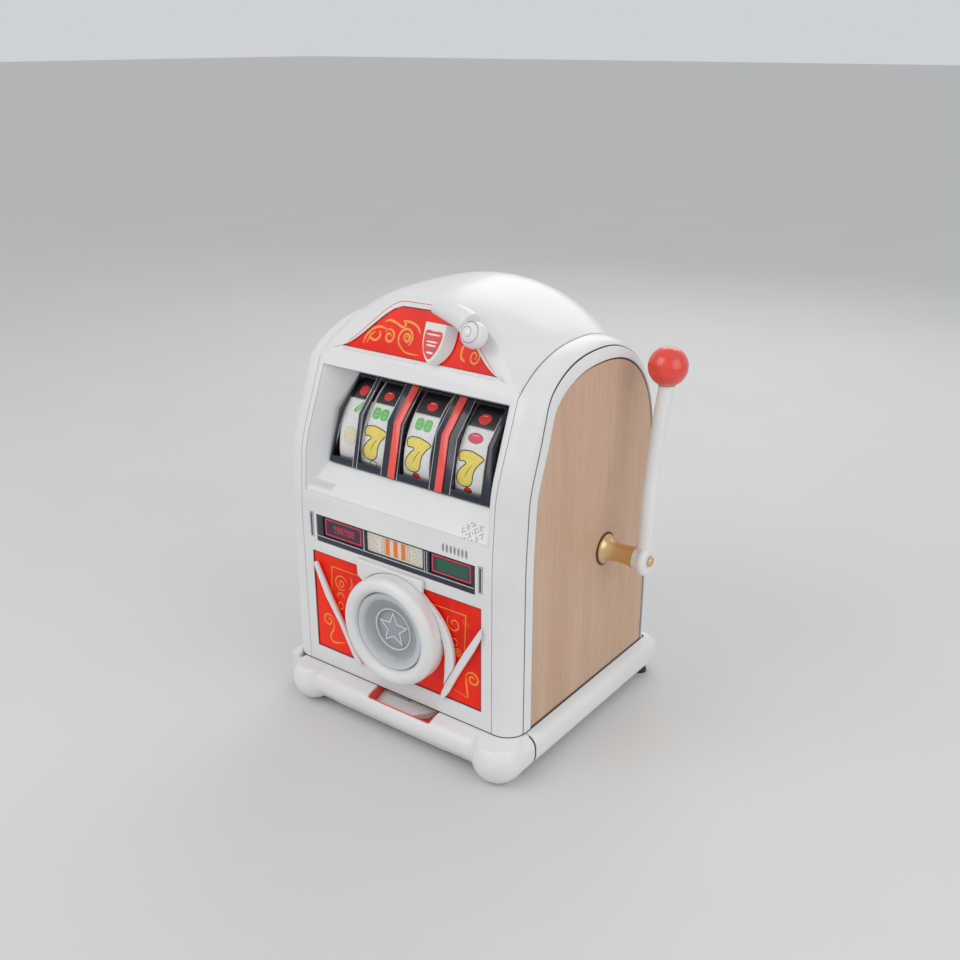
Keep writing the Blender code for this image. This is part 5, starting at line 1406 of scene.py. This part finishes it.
def repeated(name, spots, body, slot, finish, crisp=35.0, **sizes):
    """Small round or oblong studs at (place, facing) spots, made by Geometry Nodes."""
    mesh = bpy.data.meshes.new(name)
    mesh.from_pydata([tuple(place) for place, _ in spots], [], [])
    facing = mesh.attributes.new("facing", "FLOAT_VECTOR", "POINT")
    for row, (_, direction) in zip(facing.data, spots):
        row.vector = direction
    obj = bpy.data.objects.new(name + "_points", mesh)
    bpy.context.scene.collection.objects.link(obj)
    tree = repeat_tree(name + "_tree", finish)
    modifier = obj.modifiers.new("repeat", "NODES")
    modifier.node_group = tree
    for item in tree.interface.items_tree:
        if item.item_type == "SOCKET" and item.in_out == "INPUT" and item.name in sizes:
            modifier[item.identifier] = sizes[item.name]
    graph = bpy.context.evaluated_depsgraph_get()
    plain = bpy.data.meshes.new_from_object(obj.evaluated_get(graph), depsgraph=graph)
    bpy.data.objects.remove(obj, do_unlink=True)
    bm = bmesh.new()
    bm.from_mesh(plain)
    bpy.data.meshes.remove(plain)
    return piece(name, bm, body, finish, crisp=crisp)


def make_vents():
    """Hatch and speckle on the shelf, bars under it, and slots in the back door: studs of painted shade
    where these holes and slots show.
    """
    out = on_shelf(0.0, 0.34, 1.0) - on_shelf(0.0, 0.34, 0.0)
    hatch = [(on_shelf(-0.1500 + 0.0045 * k, 0.3375, 0.0), out) for k in range(9)]
    repeated("shelf_hatch", hatch, CABINET, "white_enamel", "pale_painted_shade", Length=0.0130, Width=0.0016,
             Depth=0.0005, Turn=-0.42, Sides=12)
    for part, turn in enumerate((0.5, -0.7)):
        speckle = []
        for row in range(6):
            for k in range(9):
                bare = (k * 7 + row * 5) % 4 == 0
                corner = abs(row - 2.5) > 2 and (k < 2 or k > 7)
                if bare or corner or (k + row) % 2 != part:
                    continue
                drift = 0.0008 * math.sin(k * 2.3 + row * 1.7)
                speckle.append((on_shelf(0.1130 + 0.0038 * k + drift, 0.3290 + 0.0029 * row + drift, 0.0),
                                out))
        repeated(f"shelf_speckle_{part + 1}", speckle, CABINET, "white_enamel", "seam", Length=0.0028,
                 Width=0.0013, Depth=0.0005, Turn=turn, Sides=8)
    bars = [(on_front(0.0875 + 0.0062 * k, 0.3070, 0.0), (0.0, -1.0, 0.0)) for k in range(7)]
    repeated("front_bar_vent", bars, CABINET, "white_enamel", "seam", Length=0.0120, Width=0.0034,
             Depth=0.0005, Sides=10)
    louvre = []
    for row in range(7):
        for column in (-0.042, 0.0, 0.042):
            louvre.append(((column, 0.1744, 0.290 + 0.009 * row), (0.0, 1.0, 0.0)))
    repeated("door_vent_slots", louvre, "back_door", "white_enamel", "dark_painted_shade", Length=0.0032, Width=0.034,
             Depth=0.0006, Sides=12)


def make_screws():
    back = []
    for x in (-0.152, 0.152):
        for z in (0.075, 0.150, 0.235, 0.320, 0.388):
            if x > 0 or not 0.17 < z < 0.33:
                back.append(((x, 0.1752, z), (0.0, 1.0, 0.0)))
    for z in (0.185, 0.215, 0.285, 0.315):
        back.append(((-0.147, 0.1773, z), (0.0, 1.0, 0.0)))
    repeated("back_screws", back, CABINET, "steel", "steel", Length=0.0070, Width=0.0070, Depth=0.0022,
             Sides=20)
    # Dark studs paint the shade in each screw head's slot.
    cross = [((x, y + 0.0011, z), facing) for (x, y, z), facing in back]
    repeated("back_screw_slots", cross, CABINET, "steel", "dark_painted_shade", Length=0.0008, Width=0.0052,
             Depth=0.0004, Sides=8)
    board = [((x, y, 0.0002), (0.0, 0.0, -1.0)) for x in (-0.160, 0.0, 0.160)
             for y in (-0.120, 0.012, 0.148)]
    repeated("board_screws", board, CABINET, "steel", "steel", Length=0.0080, Width=0.0080, Depth=0.0004,
             Sides=18)


def make_back():
    piece("rear_cover", copied("back_panel"), CABINET, "enamel", ("back_panel",), 0.6 * MM)
    piece("rear_door_leaf", copied("back_door"), "back_door", "enamel", ("back_door",),
          0.5 * MM)
    piece("door_lock_barrel", copied("door_lock"), "door_lock", "chrome", ("door_lock",), 0.3 * MM)
    piece("cash_box", copied("cash_drawer"), "cash_drawer", "steel", ("cash_drawer",), 0.4 * MM)
    piece("hinge_strap", copied("door_hinge_leaf"), CABINET, "steel", ("door_hinge_leaf",),
          0.2 * MM)


def dress_inside():
    """Better materials for the CAD pieces whose shape is already right."""
    kept = {"bottom_board": "plywood", "cabinet_floor": "plywood", "rear_foot_left": "rubber",
            "rear_foot_right": "rubber", "mechanism_shelf": "steel", "frame_plate_left": "steel",
            "frame_plate_right": "steel", "reel_shaft": "steel", "handle_shaft": "brass",
            "drive_sector": "steel", "pinion": "brass", "kicker_shaft": "steel", "return_spring": "steel",
            "coin_chute": "steel", "payout_tube": "steel", "door_hinge_pin": "steel"}
    for node, finish in kept.items():
        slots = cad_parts[node].data.materials
        if not len(slots):
            slots.append(None)
        for i in range(len(slots)):
            slots[i] = FINISHES[finish]


# ======== Stage ========
def make_stage():
    floor_mesh = bpy.data.meshes.new("studio_floor")
    reach = 40.0
    corners = [(x, y, 0.0) for x, y in rect((-reach, reach), (-reach, reach))]
    floor_mesh.from_pydata(corners, [], [(0, 1, 2, 3)])
    floor = bpy.data.objects.new("studio_floor", floor_mesh)
    made = Finish("studio_floor_finish", (0.62, 0.62, 0.61), 0.7)
    cloud = made.noise(3.0)
    made.feed(Base_Color=made.blend(cloud, (0.66, 0.66, 0.65, 1.0), (0.70, 0.70, 0.69, 1.0)))
    floor_mesh.materials.append(made.material)
    bpy.context.scene.collection.objects.link(floor)


def add_light(name, place, target, size, power):
    data = bpy.data.lights.new(name, "AREA")
    data.size = size
    data.energy = power
    light = bpy.data.objects.new(name, data)
    light.location = place
    light.rotation_euler = (Vector(target) - Vector(place)).to_track_quat("-Z", "Y").to_euler()
    bpy.context.scene.collection.objects.link(light)


def make_studio():
    middle = (0.0, 0.0, 0.30)
    add_light("key_light", (-0.9, -1.9, 2.1), middle, 1.8, 19.0)
    add_light("side_light", (2.2, -0.3, 1.3), middle, 1.8, 13.0)
    add_light("back_light", (-0.6, 2.1, 1.9), middle, 1.8, 14.0)
    world = bpy.data.worlds.new("studio_world")
    world.use_nodes = True
    world.node_tree.nodes["Background"].inputs["Color"].default_value = (0.92, 0.94, 0.97, 1.0)
    world.node_tree.nodes["Background"].inputs["Strength"].default_value = 0.68
    bpy.context.scene.world = world
    bpy.context.scene.view_settings.view_transform = "Standard"
    data = bpy.data.cameras.new("studio_camera")
    data.lens = CAMERA_LENS
    data.sensor_width = 36.0
    camera = bpy.data.objects.new("studio_camera", data)
    camera.location = CAMERA_PLACE
    camera.rotation_euler = tuple(math.radians(turn) for turn in CAMERA_TURN)
    bpy.context.scene.collection.objects.link(camera)
    bpy.context.scene.camera = camera


make_sides()
make_roof()
make_front()
make_reels()
make_mask()
make_top_glass()
make_shield()
make_curl()
make_display()
make_lower_glass()
make_medallion()
make_handle()
make_base()
make_tray()
make_vents()
make_screws()
make_back()
dress_inside()
make_stage()
make_studio()

bpy.context.view_layer.update()
